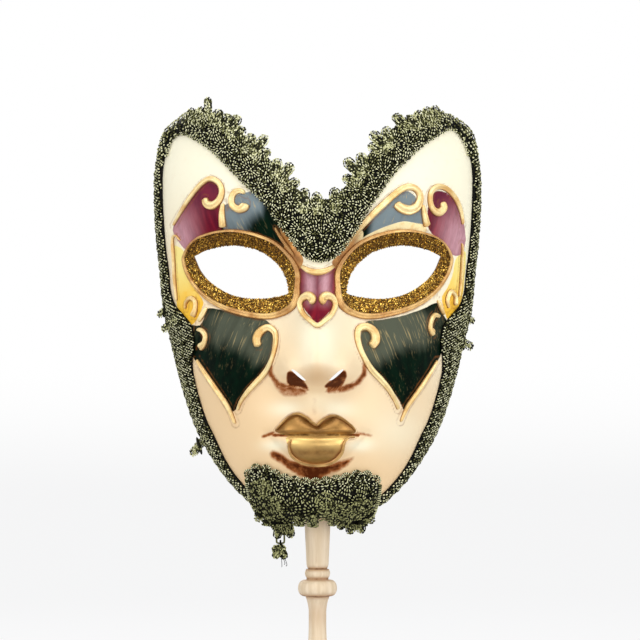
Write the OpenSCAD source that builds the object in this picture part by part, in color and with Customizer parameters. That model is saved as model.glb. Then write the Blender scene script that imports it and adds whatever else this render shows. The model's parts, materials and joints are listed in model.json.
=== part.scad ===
// Venetian masquerade mask on a turned stick.
// Frame: +Z up, the face looks along -Y, X to the viewer's right. The origin lies on the
// stick's axis at the lower end of the straight grip. Face points are written [x, z] in
// millimetres from the face line, which crosses the nose bridge just under the eye holes.

/* [Shell] */
// Width of the shell at the temples
temple_w = 166; // [150:1:180]
// Height of the widest point above the face line
temple_z = 72; // [60:1:80]
// Height of the two forehead peaks above the face line
peak_z = 101.5; // [92:0.5:112]
// Height of the bottom of the forehead notch above the face line
notch_z = 41.5; // [37:0.5:50]
// Drop of the chin below the face line
chin_drop = 106; // [100:0.5:112]
// Fullness of the jaw, from slender to square
jaw_power = 2.4; // [2:0.05:2.8]
// How far the side edges wrap back behind the face
wrap_depth = 64; // [50:1:75]
// Thickness of the shell wall
shell_wall = 2.2; // [1.6:0.1:3]

/* [Features] */
// Reach of the nose in front of the cheeks
nose_reach = 23; // [18:0.5:27]
// Half width of the nose over its tip
nose_half_w = 15; // [12:0.5:17]
// Reach of each nostril wing
wing_reach = 9; // [6:0.5:11]
// Depth of the eye sockets
socket_depth = 10; // [6:0.5:13]
// Fullness of the cheeks
cheek_reach = 7; // [4:0.5:10]
// Fullness of the lower lip
lip_reach = 5.5; // [3:0.5:7]
// Reach of the chin
chin_reach = 6; // [3:0.5:8]

/* [Eyes] */
// Distance between the inner corners of the eye holes
eye_gap = 29; // [26:0.5:32]
// Width of each eye hole
eye_w = 50; // [44:0.5:52]
// Height of the eye holes' middle above the face line
eye_z = 24.5; // [22:0.5:27]
// Width of the glitter band at the eye hole's corners
band_side = 4; // [3:0.5:5]
// Thickness of the glitter coat
glitter_t = 0.6; // [0.4:0.1:1]

/* [Piping] */
// Width of the gilded piping
pipe_w = 2.4; // [1.6:0.1:2.8]
// Height of the gilded piping
pipe_h = 1.6; // [1:0.1:2.2]
// Width of the piping around the eyes
rim_w = 2.6; // [2:0.1:3]

/* [Lace] */
// Thickness of the lace
lace_t = 3; // [2:0.1:4]
// How far the brow lace lies on the forehead, in from the shell's edge
lace_in = 8; // [6:0.5:10]
// How far the brow lace stands out past the shell's edge, to the valleys between lobes
lace_out = 11; // [8:0.5:14]
// Reach of each lobe past the valleys
lobe_reach = 5; // [3:0.5:7]
// Spacing of the lobes along the edge
lobe_pitch = 9; // [7:0.5:12]
// Width of the edging braid down the sides
braid_w = 7; // [5:0.5:9]
// Height of the edging braid off the shell
braid_h = 3.2; // [2:0.1:4]
// Width of the chin lace
chin_lace_w = 66; // [56:1:70]
// How far the chin lace hangs below the shell
chin_lace_hang = 4; // [2:0.5:8]

/* [Stick] */
// Diameter of the stick where it meets the chin
stick_d = 14.4; // [12:0.1:16]
// Diameter of the stick above its ring
waist_d = 11.6; // [10:0.1:13]
// Diameter of the turned ring
ring_d = 13.2; // [12:0.1:16]
// Diameter of the turned bead
bead_d = 20.4; // [17:0.1:24]
// Diameter of the neck under the bead
neck_d = 9.2; // [8:0.1:10.5]
// Diameter of the straight grip
grip_d = 11; // [10:0.1:13]
// Length of the straight grip
grip_l = 100; // [60:1:140]
// Length of the shaped stretch from the grip to the bead
neck_l = 40; // [30:1:60]
// Length of the tapered shaft from the ring to its shoulder
shaft_l = 33; // [28:0.5:40]

/* [Socket block] */
// Width of the block
block_w = 27; // [20:1:30]
// Height of the block
block_h = 26; // [22:1:30]
// Depth of the block behind the stick's axis
block_back = 9; // [8:0.5:14]
// Diameter of the stick's tenon
tenon_d = 10; // [8:0.1:11]
// Length of the stick's tenon
tenon_l = 20; // [14:1:21]
// Radial clearance of the tenon in its bore
tenon_clearance = 0.06; // [0.04:0.01:0.1]

/* [Hidden] */
$fn = 64;

// Clearance of a glued-on piece over the shell's facets, and what creases add to it
seat = 0.3;
crease = 0.3;
// Distance of the stick's axis behind the face's zero plane
stick_setback = 21;
// Heights along the stick, from the origin up
ring_h = 4.4;
bead_h = 8.6;
groove_h = 1.2;
bead_z = grip_l + neck_l;
ring_z = bead_z + bead_h + groove_h;
shaft_z = ring_z + ring_h;
shoulder_z = shaft_z + shaft_l;
// Height of the face line over the origin: the shoulder stands inside the chin
shoulder_in = 9;
face_z = shoulder_z - shoulder_in + chin_drop;
// Stretch of the face's ornament, whose points are written for temples 166 apart
stretch = temple_w / 166;

function clamp(t, low, high) = min(max(t, low), high);
function rise(a, b, t) = let (s = clamp((t - a) / (b - a), 0, 1)) s * s * (3 - 2 * s);
function bump(x, z, cx, cz, sx, sz) = exp(-pow((x - cx) / sx, 2) - pow((z - cz) / sz, 2));
function unit(v) = v / norm(v);

// Slope of a table's curve at one of its points
function slope(table, i) =
    let (a = table[max(i - 1, 0)], b = table[min(i + 1, len(table) - 1)]) (b[1] - a[1]) / (b[0] - a[0]);
// Smooth curve through a table of [place, value] points
function curve(table, place) =
    let (
        t = clamp(place, table[0][0], table[len(table) - 1][0]),
        i = min(max([for (k = [0 : len(table) - 2]) if (t >= table[k][0]) k]), len(table) - 2),
        h = table[i + 1][0] - table[i][0],
        s = (t - table[i][0]) / h
    )
    (2 * pow(s, 3) - 3 * s * s + 1) * table[i][1] + (pow(s, 3) - 2 * s * s + s) * h * slope(table, i)
    + (3 * s * s - 2 * pow(s, 3)) * table[i + 1][1] + (pow(s, 3) - s * s) * h * slope(table, i + 1);

// Height of the shell's lower edge
chin_edge_z = 2 - chin_drop;
chin_ball_z = 10 - chin_drop;
// Half width of the shell at a height
function half_w(z) =
    let (t = clamp((z + chin_drop) / (temple_z + chin_drop), 0.012, 1), over = max(z - temple_z, 0) / 34)
    temple_w / 2 * sqrt(1 - pow(1 - t, jaw_power)) * (1 - 0.09 * over * over);

// Rise of the top edge from notch to peak, by share of the half width
PEAK = [
    [0, 0], [0.11, 0.11], [0.31, 0.43], [0.55, 0.715], [0.74, 0.91], [0.86, 1], [0.94, 0.975], [1, 0.84]
];
function top_z(u) = notch_z + (peak_z - notch_z) * curve(PEAK, abs(u));

// Depth of the face's middle, and share of the wrap, by height
MIDDLE = [[-106, -12], [-98, -4], [-84, 0], [-60, 2], [-30, 1], [0, 0], [40, 2], [70, 0], [106, -10]];
WRAP = [[-106, 0.2], [-92, 0.45], [-74, 0.75], [-50, 0.95], [-20, 1], [106, 1]];
// Share of the nose's reach and of its half width, by height
RIDGE = [
    [-46, 0], [-40, 0.03], [-37, 0.12], [-34, 0.36], [-31, 0.68], [-27, 0.92], [-21, 1], [-14, 0.95],
    [0, 0.76], [16, 0.54], [32, 0.36], [48, 0.18], [68, 0]
];
BREADTH = [[-46, 1.1], [-30, 1.08], [-20, 1], [-8, 0.95], [6, 0.92], [22, 0.95], [40, 1.1], [68, 1.5]];
// Edges of the lips, by distance from the middle
mouth_z = -59;
UPPER_LIP = [[0, -55], [4.5, -52.4], [10, -49.5], [15, -51.2], [20, -56], [23, -59]];
LOWER_LIP = [[0, -74.5], [8, -73.6], [16, -69.5], [22, -63.5], [25, -59.5]];

function upper_lip(a, z) =
    let (t = (z - mouth_z) / max(curve(UPPER_LIP, a) - mouth_z, 0.4))
    t < 0 || t > 1 || a > 23 ? 0 : 3 * (1 - t * t) * (1 - pow(a / 23, 4));
function lower_lip(a, z) =
    let (t = (mouth_z - z) / max(mouth_z - curve(LOWER_LIP, a), 0.4))
    t < 0 || t > 1 || a > 25 ? 0 : lip_reach * (1 - pow((t - 0.42) / 0.58, 2)) * (1 - pow(a / 25, 2.4));

// Reach of the face towards the viewer at a point of the front view
function reach(x0, z) =
    let (
        a = abs(x0) / stretch,
        s = clamp(abs(x0) / half_w(z), 0, 1),
        wrap = wrap_depth * curve(WRAP, z) * (1 - sqrt(1 - pow(0.97 * s, 2.15))),
        nose = nose_reach * curve(RIDGE, z) * exp(-pow(a / (nose_half_w * curve(BREADTH, z)), 2.1)),
        wings = wing_reach * bump(a, z, 16, -24, 6.5, 9) * rise(-38, -28, z)
    )
    curve(MIDDLE, z) - wrap + nose + wings + 2.5 * bump(a, z, 0, -19, 10, 9)
    - socket_depth * bump(a, z, 40, 24, 25, 17) + 2.5 * bump(a, z, 34, 56, 30, 12)
    + cheek_reach * bump(a, z, 42, -20, 22, 26) + 6 * bump(a, z, 0, -58, 30, 22)
    + chin_reach * bump(a, z, 0, chin_ball_z, 20, 12) - 2 * bump(a, z, 0, -81, 20, 6)
    - bump(a, z, 25, -28, 5, 8) - 1.2 * bump(a, z, 0, -44, 3.6, 7)
    + upper_lip(a, z) + lower_lip(a, z)
    - 1.5 * exp(-pow((z - mouth_z) / 1.3, 2) - pow(a / 23, 6)) - 1.2 * bump(a, z, 25.5, -60, 3.5, 3.5);

// Steepness of the face at a point
step = 0.4;
function tilt(x, z) = [
    (reach(x + step, z) - reach(x - step, z)) / 2 / step,
    (reach(x, z + step) - reach(x, z - step)) / 2 / step
];
// Points on the front and on the back of the shell, and the front's normal
function front(p) = [p[0], -stick_setback - reach(p[0], p[1]), face_z + p[1]];
function behind(p, t) = let (g = tilt(p[0], p[1])) front(p) + [0, t * min(norm([1, g[0], g[1]]), 2.5), 0];
function back(p) = behind(p, shell_wall);
function normal(p) = let (g = tilt(p[0], p[1])) unit([-g[0], -1, -g[1]]);
// Nearest point of the shell's front to a point that may lie off its edge
function held(p) =
    let (z = max(p[1], chin_edge_z), w = 0.985 * half_w(z)) [clamp(p[0], -w, w), z];

// Eye holes: lids by distance along the hole from its inner corner, as shares of its width
UPPER_LID = [
    [0, -11], [0.015, -6], [0.05, -0.8], [0.13, 5], [0.3, 11.3], [0.58, 14.4], [0.85, 12.2], [1, 8.8]
];
LOWER_LID = [[0, -11], [0.12, -12.6], [0.37, -13.7], [0.6, -11.7], [0.8, -6], [0.93, 1], [1, 8.8]];
eye_in = eye_gap / 2 * stretch;
eye_out = eye_in + eye_w * stretch;
function eye_share(x) = clamp((x - eye_in) / (eye_out - eye_in), 0, 1);
function upper_lid(x) = eye_z + curve(UPPER_LID, eye_share(x));
function lower_lid(x) = eye_z + curve(LOWER_LID, eye_share(x));

// Nostril slits: their line and half height by distance from the middle
slit_in = 6.3 * stretch;
slit_out = 13.2 * stretch;
slit_h = 1;
function slit_z(x) = -31.5 + 6.5 * rise(slit_in - 2, slit_out + 2, x);
function slit_gap(x) =
    let (s = (2 * x - slit_in - slit_out) / (slit_out - slit_in)) slit_h * sqrt(max(1 - s * s, 0));

// Columns of the shell's mesh as shares of the half width, with one on every hole's corner
inner_cols = 6;
lid_cols = 12;
outer_cols = 4;
side_cols = inner_cols + lid_cols + outer_cols;
eye_level_w = half_w(eye_z);
in_share = eye_in / eye_level_w;
out_share = eye_out / eye_level_w;
function column_share(i) =
    i <= inner_cols ? in_share * i / inner_cols
    : i <= inner_cols + lid_cols
    ? in_share + (out_share - in_share) * (1 - cos(180 * (i - inner_cols) / lid_cols)) / 2
    : out_share + (1 - out_share) * (i - inner_cols - lid_cols) / outer_cols;
cols = [for (i = [-side_cols : side_cols]) sign(i) * column_share(abs(i))];

// Rows of the shell's mesh in three storeys: up to the nostrils, up to the eyes, up to the top.
// The lowest storey's rows stand closest at the lips.
LOW_SHARES = [
    0, 0.08, 0.18, 0.28, 0.36, 0.41, 0.46, 0.52, 0.57, 0.605, 0.635, 0.67, 0.71, 0.76, 0.83, 0.9, 0.95, 1
];
low_rows = len(LOW_SHARES) - 1;
// Rows over the mouth keep their heights. Those under the lip's foot spread down to the chin's edge.
mouth_floor_z = -104;
foot_share = 0.36;
function low_row_z(share, nostril_z) =
    let (foot_z = mouth_floor_z + (nostril_z - mouth_floor_z) * foot_share)
    share < foot_share ? chin_edge_z + (foot_z - chin_edge_z) * share / foot_share
    : mouth_floor_z + (nostril_z - mouth_floor_z) * share;
mid_rows = 7;
top_rows = 9;
function column_zs(u) =
    let (
        a = abs(u),
        eye_x = a * eye_level_w,
        slit_x = a * half_w(-28),
        sz = slit_z(slit_x),
        sg = slit_gap(slit_x),
        low = lower_lid(eye_x),
        up = upper_lid(eye_x)
    )
    concat(
        [for (s = LOW_SHARES) low_row_z(s, sz - sg)],
        [for (k = [0 : mid_rows]) sz + sg + (low - sz - sg) * k / mid_rows],
        [for (k = [0 : top_rows]) up + (top_z(u) - up) * k / top_rows]
    );

// A closed solid between two sheets of points. Each sheet is a list of equal rows.
function sheet_faces(rows, n) = [
    for (r = [0 : rows - 2], i = [0 : n - 2])
        let (a = r * n + i) each [[a, a + 1, a + n + 1], [a, a + n + 1, a + n]]
];
function flipped(faces, shift) = [for (f = faces) [f[0] + shift, f[2] + shift, f[1] + shift]];
function wall(loop, shift) = [
    for (i = [0 : len(loop) - 1])
        let (a = loop[i], b = loop[(i + 1) % len(loop)]) each [[a, a + shift, b + shift], [a, b + shift, b]]
];
function sheet_loop(rows, n) = concat(
    [for (i = [0 : n - 2]) i],
    [for (r = [0 : rows - 2]) r * n + n - 1],
    [for (i = [n - 1 : -1 : 1]) (rows - 1) * n + i],
    [for (r = [rows - 1 : -1 : 1]) r * n]
);
module slab(fronts, backs) {
    rows = len(fronts);
    n = len(fronts[0]);
    faces = sheet_faces(rows, n);
    polyhedron(
        concat([for (r = fronts) each r], [for (r = backs) each r]),
        concat(faces, flipped(faces, rows * n), [for (f = wall(sheet_loop(rows, n), rows * n)) f])
    );
}

// A closed ring between two sheets, each a list of closed rows from the outside in
module ring_slab(fronts, backs) {
    rows = len(fronts);
    n = len(fronts[0]);
    shift = rows * n;
    faces = [
        for (r = [0 : rows - 2], i = [0 : n - 1])
            let (a = r * n + i, b = r * n + (i + 1) % n) each [[a, b, b + n], [a, b + n, a + n]]
    ];
    outer = [for (i = [0 : n - 1]) i];
    inner = [for (i = [n - 1 : -1 : 0]) (rows - 1) * n + i];
    polyhedron(
        concat([for (r = fronts) each r], [for (r = backs) each r]),
        concat(faces, flipped(faces, shift), wall(outer, shift), wall(inner, shift))
    );
}

// Smooth route through hand-set points
function spline(a, b, c, d, s) =
    0.5 * (2 * b + (c - a) * s + (2 * a - 5 * b + 4 * c - d) * s * s + (3 * b - a - 3 * c + d) * pow(s, 3));
function route(pts, cuts) =
    let (m = len(pts) - 1)
    concat(
        [
            for (i = [0 : m - 1], k = [0 : cuts - 1])
                spline(pts[max(i - 1, 0)], pts[i], pts[i + 1], pts[min(i + 2, m)], k / cuts)
        ],
        [pts[m]]
    );

// Half-round piping along a route on the face. The taper is a table of width shares.
SECTION = [[-0.5, 0], [0.5, 0], [0.4, 0.62], [0, 1], [-0.4, 0.62]];
CURL = [[0, 0.5], [0.25, 0.9], [0.7, 1], [0.92, 1.2], [1, 0.6]];
LINE = [[0, 0.5], [0.3, 0.9], [0.7, 0.9], [1, 0.5]];
BAR = [[0, 0.7], [0.5, 1.2], [1, 1.4]];
function pipe_ring(pts, i, w, h, lift) =
    let (
        p = pts[i],
        n0 = normal(p),
        t = unit(front(pts[min(i + 1, len(pts) - 1)]) - front(pts[max(i - 1, 0)])),
        b = unit(cross(n0, t)),
        n = cross(t, b)
    )
    [for (q = SECTION) front(p) + n * (lift + q[1] * h) + b * q[0] * w];
module pipe(points, taper, width = pipe_w, lift = seat, cuts = 2) {
    pts = [for (p = route(points, cuts)) [p[0] * stretch, p[1]]];
    m = len(pts);
    k = len(SECTION);
    share = [for (i = [0 : m - 1]) curve(taper, i / (m - 1))];
    rings = [
        for (i = [0 : m - 1])
            each pipe_ring(pts, i, width * share[i], pipe_h * sqrt(share[i]), lift)
    ];
    sides = [
        for (i = [0 : m - 2], j = [0 : k - 1])
            let (a = i * k + j, b = i * k + (j + 1) % k) each [[a, a + k, b + k], [a, b + k, b]]
    ];
    last = (m - 1) * k;
    caps = [for (j = [1 : k - 2]) each [[0, j, j + 1], [last, last + j + 1, last + j]]];
    polyhedron(rings, concat(sides, caps));
}

module mask_shell() {
    n = len(cols);
    zs = [for (u = cols) column_zs(u)];
    m = len(zs[0]);
    slit_r = low_rows + 1;
    lid_r = low_rows + mid_rows + 2;
    pts = [for (i = [0 : n - 1], r = [0 : m - 1]) [cols[i] * half_w(zs[i][r]), zs[i][r]]];
    shift = n * m;
    // A point that two storeys share is written once
    shut = [
        for (i = [0 : n - 1])
            [for (r = [0 : m - 1]) (r == slit_r || r == lid_r) && zs[i][r] - zs[i][r - 1] < 0.001 ? 1 : 0]
    ];
    at = [for (i = [0 : n - 1]) [for (r = [0 : m - 1]) i * m + r - shut[i][r]]];
    faces = [
        for (i = [0 : n - 2], r = [0 : m - 2])
            if (r != slit_r - 1 && r != lid_r - 1)
                let (a = at[i][r], b = at[i + 1][r], c = at[i + 1][r + 1], d = at[i][r + 1])
                    each i < side_cols ? [[a, c, b], [a, d, c]] : [[a, d, b], [b, d, c]]
    ];
    rim = concat(
        [for (i = [n - 1 : -1 : 1]) at[i][0]],
        [for (r = [0 : m - 2]) if (r != slit_r - 1 && r != lid_r - 1) at[0][r]],
        [for (i = [0 : n - 2]) at[i][m - 1]],
        [for (r = [m - 1 : -1 : 1]) if (r != slit_r && r != lid_r) at[n - 1][r]]
    );
    // Cheeks of the eye holes and nostrils, wherever either end of a step is open
    holes = [
        for (i = [0 : n - 2], r = [slit_r, lid_r])
            if (shut[i][r] + shut[i + 1][r] < 2)
                let (a = at[i][r - 1], b = at[i + 1][r - 1], c = at[i][r], d = at[i + 1][r])
                    each [
                        [b, a, a + shift], [b, a + shift, b + shift],
                        [c, d, d + shift], [c, d + shift, c + shift]
                    ]
    ];
    color("ivory")
        polyhedron(
            concat([for (p = pts) front(p)], [for (p = pts) back(p)]),
            concat(faces, flipped(faces, shift), wall(rim, shift), holes)
        );
}

// Eye surround: the hole's outline once around, and the reach of the band at twelve of its points
around = 40;
BAND = [
    [-3, 1.5], [-5.8, 1.8], [-5, 4.5], [-0.5, 6.7], [3, 6.7], [3.8, 5],
    [4.4, -0.2], [5.8, -1], [5.5, -3.7], [2.5, -5.8], [-2, -7.6], [-3.8, -4.5]
];
function band_at(k) =
    let (
        n = len(BAND),
        t = k * n / around,
        i = floor(t),
        v = spline(BAND[(i + n - 1) % n], BAND[i % n], BAND[(i + 1) % n], BAND[(i + 2) % n], t - i)
    )
    [v[0] * stretch, v[1]] * band_side / 4;
function eye_point(k) =
    let (x = eye_in + (eye_out - eye_in) * (1 - cos(360 * k / around)) / 2)
    [x, 2 * k <= around ? upper_lid(x) : lower_lid(x)];
// Points around an eye, pushed out by a share of the band and by a distance, for one side of the face
function eye_loop(side, share, out) = [
    for (j = [0 : around - 1])
        let (
            k = side > 0 ? j : around - 1 - j,
            v = band_at(k),
            p = eye_point(k) + v * share + unit(v) * out
        )
        [side * p[0], p[1]]
];
module eye_glitter(side) {
    loops = [eye_loop(side, 1, -seat), eye_loop(side, 0.5, 0), eye_loop(side, 0, seat)];
    color("goldenrod")
        ring_slab(
            [for (l = loops) [for (p = l) front(p) + normal(p) * (seat + glitter_t)]],
            [for (l = loops) [for (p = l) front(p) + normal(p) * seat]]
        );
}
module eye_rim(side) {
    loops = [for (q = [SECTION[2], SECTION[3], SECTION[4]]) eye_loop(side, 1, rim_w * (0.5 + q[0]))];
    lift = [for (q = [SECTION[2], SECTION[3], SECTION[4]]) seat + pipe_h * q[1]];
    feet = [eye_loop(side, 1, rim_w), eye_loop(side, 1, rim_w / 2), eye_loop(side, 1, 0)];
    color("gold")
        ring_slab(
            [for (i = [0 : 2]) [for (p = loops[i]) front(p) + normal(p) * lift[i]]],
            [for (l = feet) [for (p = l) front(p) + normal(p) * seat]]
        );
}
module left_eye_glitter() { eye_glitter(-1); }
module right_eye_glitter() { eye_glitter(1); }
module left_eye_rim() { eye_rim(-1); }
module right_eye_rim() { eye_rim(1); }

// Gilded scrolls over the eyes
module left_temple_scroll()
    color("gold")
        pipe([
            [-75.5, 49.5], [-70, 58.5], [-64, 67], [-59, 72], [-55, 73.5], [-51, 71],
            [-49.5, 66.5], [-51, 62], [-54.5, 59.5], [-57.5, 60.5], [-58.5, 63.5]
        ], CURL);
module right_temple_scroll()
    color("gold")
        pipe([
            [76, 50], [74.5, 57.5], [71.5, 64], [67, 68.5], [62.5, 69.5], [59, 66.5],
            [58.5, 61.5], [60, 57.5], [63, 56], [65.5, 58.5], [64.5, 61.5]
        ], CURL);
module left_brow_scroll()
    color("gold")
        pipe([
            [-37.5, 65.5], [-40, 67], [-43, 66], [-44.5, 63],
            [-44, 59.5], [-41, 57.5], [-38, 58.5], [-37, 60.5]
        ], CURL);
module right_brow_scroll()
    color("gold")
        pipe([
            [13, 35.5], [17, 41], [22, 46.5], [28, 52.5], [34.5, 58.5], [40.5, 64], [46, 67.5], [50.5, 67],
            [53, 63.5], [51.5, 58.5], [47.5, 56.5], [43, 58], [41, 60.5]
        ], CURL);
module left_brow_line()
    color("gold")
        pipe([[-22, 48], [-18.5, 42.5], [-14.5, 37], [-11.5, 33]], LINE, pipe_w * 0.7);
module left_divider_bar() color("gold") pipe([[-49.5, 57.5], [-49.5, 54], [-49, 50]], BAR);
module right_divider_bar() color("gold") pipe([[55, 57], [56, 53], [57, 49.5]], BAR);

// Gilded lines and leaves down the temples
module left_temple_line()
    color("gold")
        pipe([
            [-71.5, 41.5], [-73.5, 44], [-75, 44], [-75.5, 41], [-75, 33], [-74.5, 22], [-73.5, 10]
        ], LINE, pipe_w * 0.7);
module right_temple_line()
    color("gold")
        pipe([
            [71.5, 41.5], [73.5, 44], [75, 44], [75.5, 41], [75.5, 33], [75, 22], [74, 12]
        ], LINE, pipe_w * 0.7);
module left_temple_leaf()
    color("gold")
        pipe([[-69, 5.5], [-68.5, 9.5], [-66, 11.5], [-63.5, 9.5], [-63.5, 5.5], [-65, 1.5]], CURL);
module right_temple_leaf()
    color("gold")
        pipe([[68.5, 6], [67.5, 10.5], [69.5, 15], [72, 12.5], [72, 7.5]], CURL);
module left_temple_stem() color("gold") pipe([[-57.5, 6.5], [-59.5, 3], [-62, -1]], LINE);
module right_temple_stem() color("gold") pipe([[62.5, 10.5], [64, 7], [66, 2.5]], LINE);

// Gilded frames of the cheeks
module left_cheek_curl()
    color("gold")
        pipe([[-63, -5], [-60, -5.5], [-58, -8.5], [-59, -12.5], [-61.5, -14.5]], CURL);
module right_cheek_curl()
    color("gold")
        pipe([[64, 1.5], [61, 2.5], [59, -0.5], [58.5, -4.5], [60.5, -7.5]], CURL);
module left_cheek_line()
    color("gold")
        pipe([[-63, -20.5], [-58, -28], [-51, -38], [-46, -45.5], [-42.5, -54]], LINE);
module right_cheek_line()
    color("gold")
        pipe([[62.5, -21], [58, -28.5], [51.5, -38], [46.5, -45], [43, -53]], LINE);
module left_cheek_scroll()
    color("gold")
        pipe([
            [-41.5, -47], [-39.5, -42], [-36, -37], [-32, -32.5], [-26.5, -26.5], [-23, -19.5], [-21.5, -12],
            [-22, -6.5], [-25.5, -4], [-29.5, -6], [-31.5, -10], [-30.5, -14]
        ], CURL, pipe_w, seat + crease);
module right_cheek_scroll()
    color("gold")
        pipe([
            [42, -46.5], [40, -41.5], [37, -36], [33, -31], [27, -24.5], [22.5, -17], [20.5, -10],
            [21, -5], [25, -3.5], [29, -6], [30, -10.5], [27.5, -14]
        ], CURL, pipe_w, seat + crease);

// Gilded frame on the bridge of the nose
module nose_bar()
    color("gold")
        pipe([[-8.5, 28], [-4.5, 25.5], [0, 24.5], [4.5, 25.5], [8.5, 28]], LINE);
module nose_heart()
    color("gold")
        pipe([
            [-4, 8.5], [-2.5, 10.5], [-4.5, 12.5], [-7.5, 11], [-8.7, 7.5], [-7, 3], [-3.5, -0.5], [0, -3],
            [3.5, -0.5], [7, 3], [8.7, 7.5], [7.5, 11], [4.5, 12.5], [2.5, 10.5], [4, 8.5]
        ], [[0, 0.8], [0.1, 1.1], [0.5, 0.8], [0.9, 1.1], [1, 0.8]], pipe_w * 0.85);

// Gilded edges of the lips
module upper_lip_rim()
    color("gold")
        pipe([
            [-21.5, -57], [-18.5, -53.5], [-14.5, -50], [-10, -48.5], [-5, -51], [-1, -54.5],
            [3, -51.5], [8, -49.5], [13, -51.5], [17.5, -55], [19.5, -57.5]
        ], LINE, pipe_w * 0.7, seat + 1.5 * crease);
module lower_lip_rim()
    color("gold")
        pipe([
            [-13.5, -61.5], [-14.5, -65], [-13, -69.5], [-8, -73], [-0.5, -74.5], [7, -73], [12, -68.5],
            [13.5, -63.5], [15.5, -61], [19.5, -60.5]
        ], LINE, pipe_w * 0.7, seat + crease);

// Brow lace: one strip to each side, from the notch to the outer corner
lobe_cuts = 4;
function brow_point(u) = let (z = top_z(u)) [u * half_w(z), z];
function brow_out(u) =
    let (
        e = brow_point(u + 0.015) - brow_point(u - 0.015),
        n = unit([-e[1], e[0]]),
        s = rise(0, 0.12, abs(u))
    )
    unit(n * s + [0, 1] * (1 - s));
// Lengths along the brow edge
brow_l = norm(brow_point(0.86) - brow_point(0)) + 18;
brow_rings = lobe_cuts * round(brow_l / lobe_pitch);
brow_end = 0.985;
BROW_IN = [[0, 1.35], [0.1, 1.2], [0.2, 1.02], [0.3, 1], [0.8, 1], [1, 0.6]];
BROW_OUT = [[0, 1.45], [0.2, 1.05], [0.8, 1], [1, 0.35]];
function brow_in_at(u) = lace_in * curve(BROW_IN, abs(u));
function brow_out_at(u, k) =
    (lace_out + lobe_reach * abs(sin(180 * k / lobe_cuts))) * curve(BROW_OUT, abs(u));
function lace_at(p, lift) =
    let (h = held(p)) front(h) + [p[0] - h[0], 0, p[1] - h[1]] + normal(h) * (seat + lift);
module brow_lace(side) {
    middle = side * 0.2;
    us = [for (k = [0 : brow_rings]) side * brow_end * k / brow_rings];
    order = side > 0 ? [0 : brow_rings] : [brow_rings : -1 : 0];
    across = [1, 0.2, -0.45, -1];
    thick = [0.5, 1, 1, 0.5];
    grid = [
        for (a = across)
            [
                for (k = order)
                    let (
                        u = us[k],
                        d = a > 0 ? a * brow_out_at(u, k) : a * brow_in_at(u),
                        p = brow_point(u) + brow_out(u) * d
                    )
                    [side * max(side * p[0], abs(middle)), p[1]]
            ]
    ];
    color("darkolivegreen")
        slab(
            [for (i = [0 : 3]) [for (p = grid[i]) lace_at(p, lace_t * thick[i])]],
            [for (i = [0 : 3]) [for (p = grid[i]) lace_at(p, 0)]]
        );
}
module left_brow_lace() { brow_lace(-1); }
module right_brow_lace() { brow_lace(1); }

// Edging braid: it lies on the sides of the shell along the edge, wider where lobes fold over the cheek
braid_top = 88;
braid_bottom = -85;
braid_rows = 32;
WIDTH = [[-85, 1.4], [-50, 1.4], [-28, 1.7], [-14, 2.6], [-4, 2.4], [8, 1.3], [40, 1], [88, 1]];
function edge_out(side, z) = unit([side, 0, half_w(z - 0.5) - half_w(z + 0.5)]);
module edge_braid(side) {
    across = [0, 0.4, 0.85];
    thick = [0.5, 1, 1];
    zs = [for (r = [0 : braid_rows]) braid_top + (braid_bottom - braid_top) * r / braid_rows];
    // Each row runs over the face's side, round the shell's edge and back past it
    function braid_row(z, lift) =
        let (
            edge = 0.985 * half_w(z),
            w = braid_w * 0.45 * curve(WIDTH, z),
            out = edge_out(side, z),
            over = [
                for (i = [0 : 2])
                    let (p = [side * (edge - w * (1 - across[i])), z])
                        front(p) + normal(p) * (seat + lift * thick[i])
            ],
            corner = front([side * half_w(z), z]) + out * (seat + 0.2 + lift * 0.8),
            tuck = back([side * half_w(z), z]) + out * (seat + 0.2 + lift * 0.6) + [0, 1, 0]
        )
        concat(over, [corner, tuck]);
    function ordered(row) = side > 0 ? row : [for (i = [4 : -1 : 0]) row[i]];
    color("darkolivegreen")
        slab([for (z = zs) ordered(braid_row(z, braid_h))], [for (z = zs) ordered(braid_row(z, 0))]);
}
module left_edge_braid() { edge_braid(-1); }
module right_edge_braid() { edge_braid(1); }

// Chin lace: an apron of lace over the chin, its lobed lower edge hanging free
CHIN_TOP = [[0, -77], [0.15, -77.5], [0.35, -81], [0.5, -84], [0.7, -83], [0.9, -79], [1, -82]];
CHIN_LOW = [
    [0, -94], [0.12, -104], [0.22, -107], [0.36, -106], [0.5, -101], [0.68, -103], [0.85, -106], [1, -92]
];
chin_cols = 32;
chin_mid = -2;
lobe_h = 1.6;
function chin_lobe(i) = lobe_h * abs(cos(180 * i / 4));
module chin_lace() {
    xs = [for (i = [0 : chin_cols]) chin_mid + chin_lace_w * (i / chin_cols - 0.5)];
    rows = 5;
    grid = [
        for (r = [0 : rows])
            [
                for (i = [0 : chin_cols])
                    let (
                        s = i / chin_cols,
                        top = curve(CHIN_TOP, s) + 106 - chin_drop + chin_lobe(i),
                        low = curve(CHIN_LOW, s) + 106 - chin_drop - chin_lace_hang - chin_lobe(i)
                    )
                    [xs[i], top + (low - top) * r / rows]
            ]
    ];
    thick = [0.5, 0.9, 1, 1, 0.9, 0.5];
    color("darkolivegreen")
        slab(
            [for (r = [0 : rows]) [for (p = grid[r]) lace_at(p, crease + lace_t * thick[r])]],
            [for (r = [0 : rows]) [for (p = grid[r]) lace_at(p, crease)]]
        );
}

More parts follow.
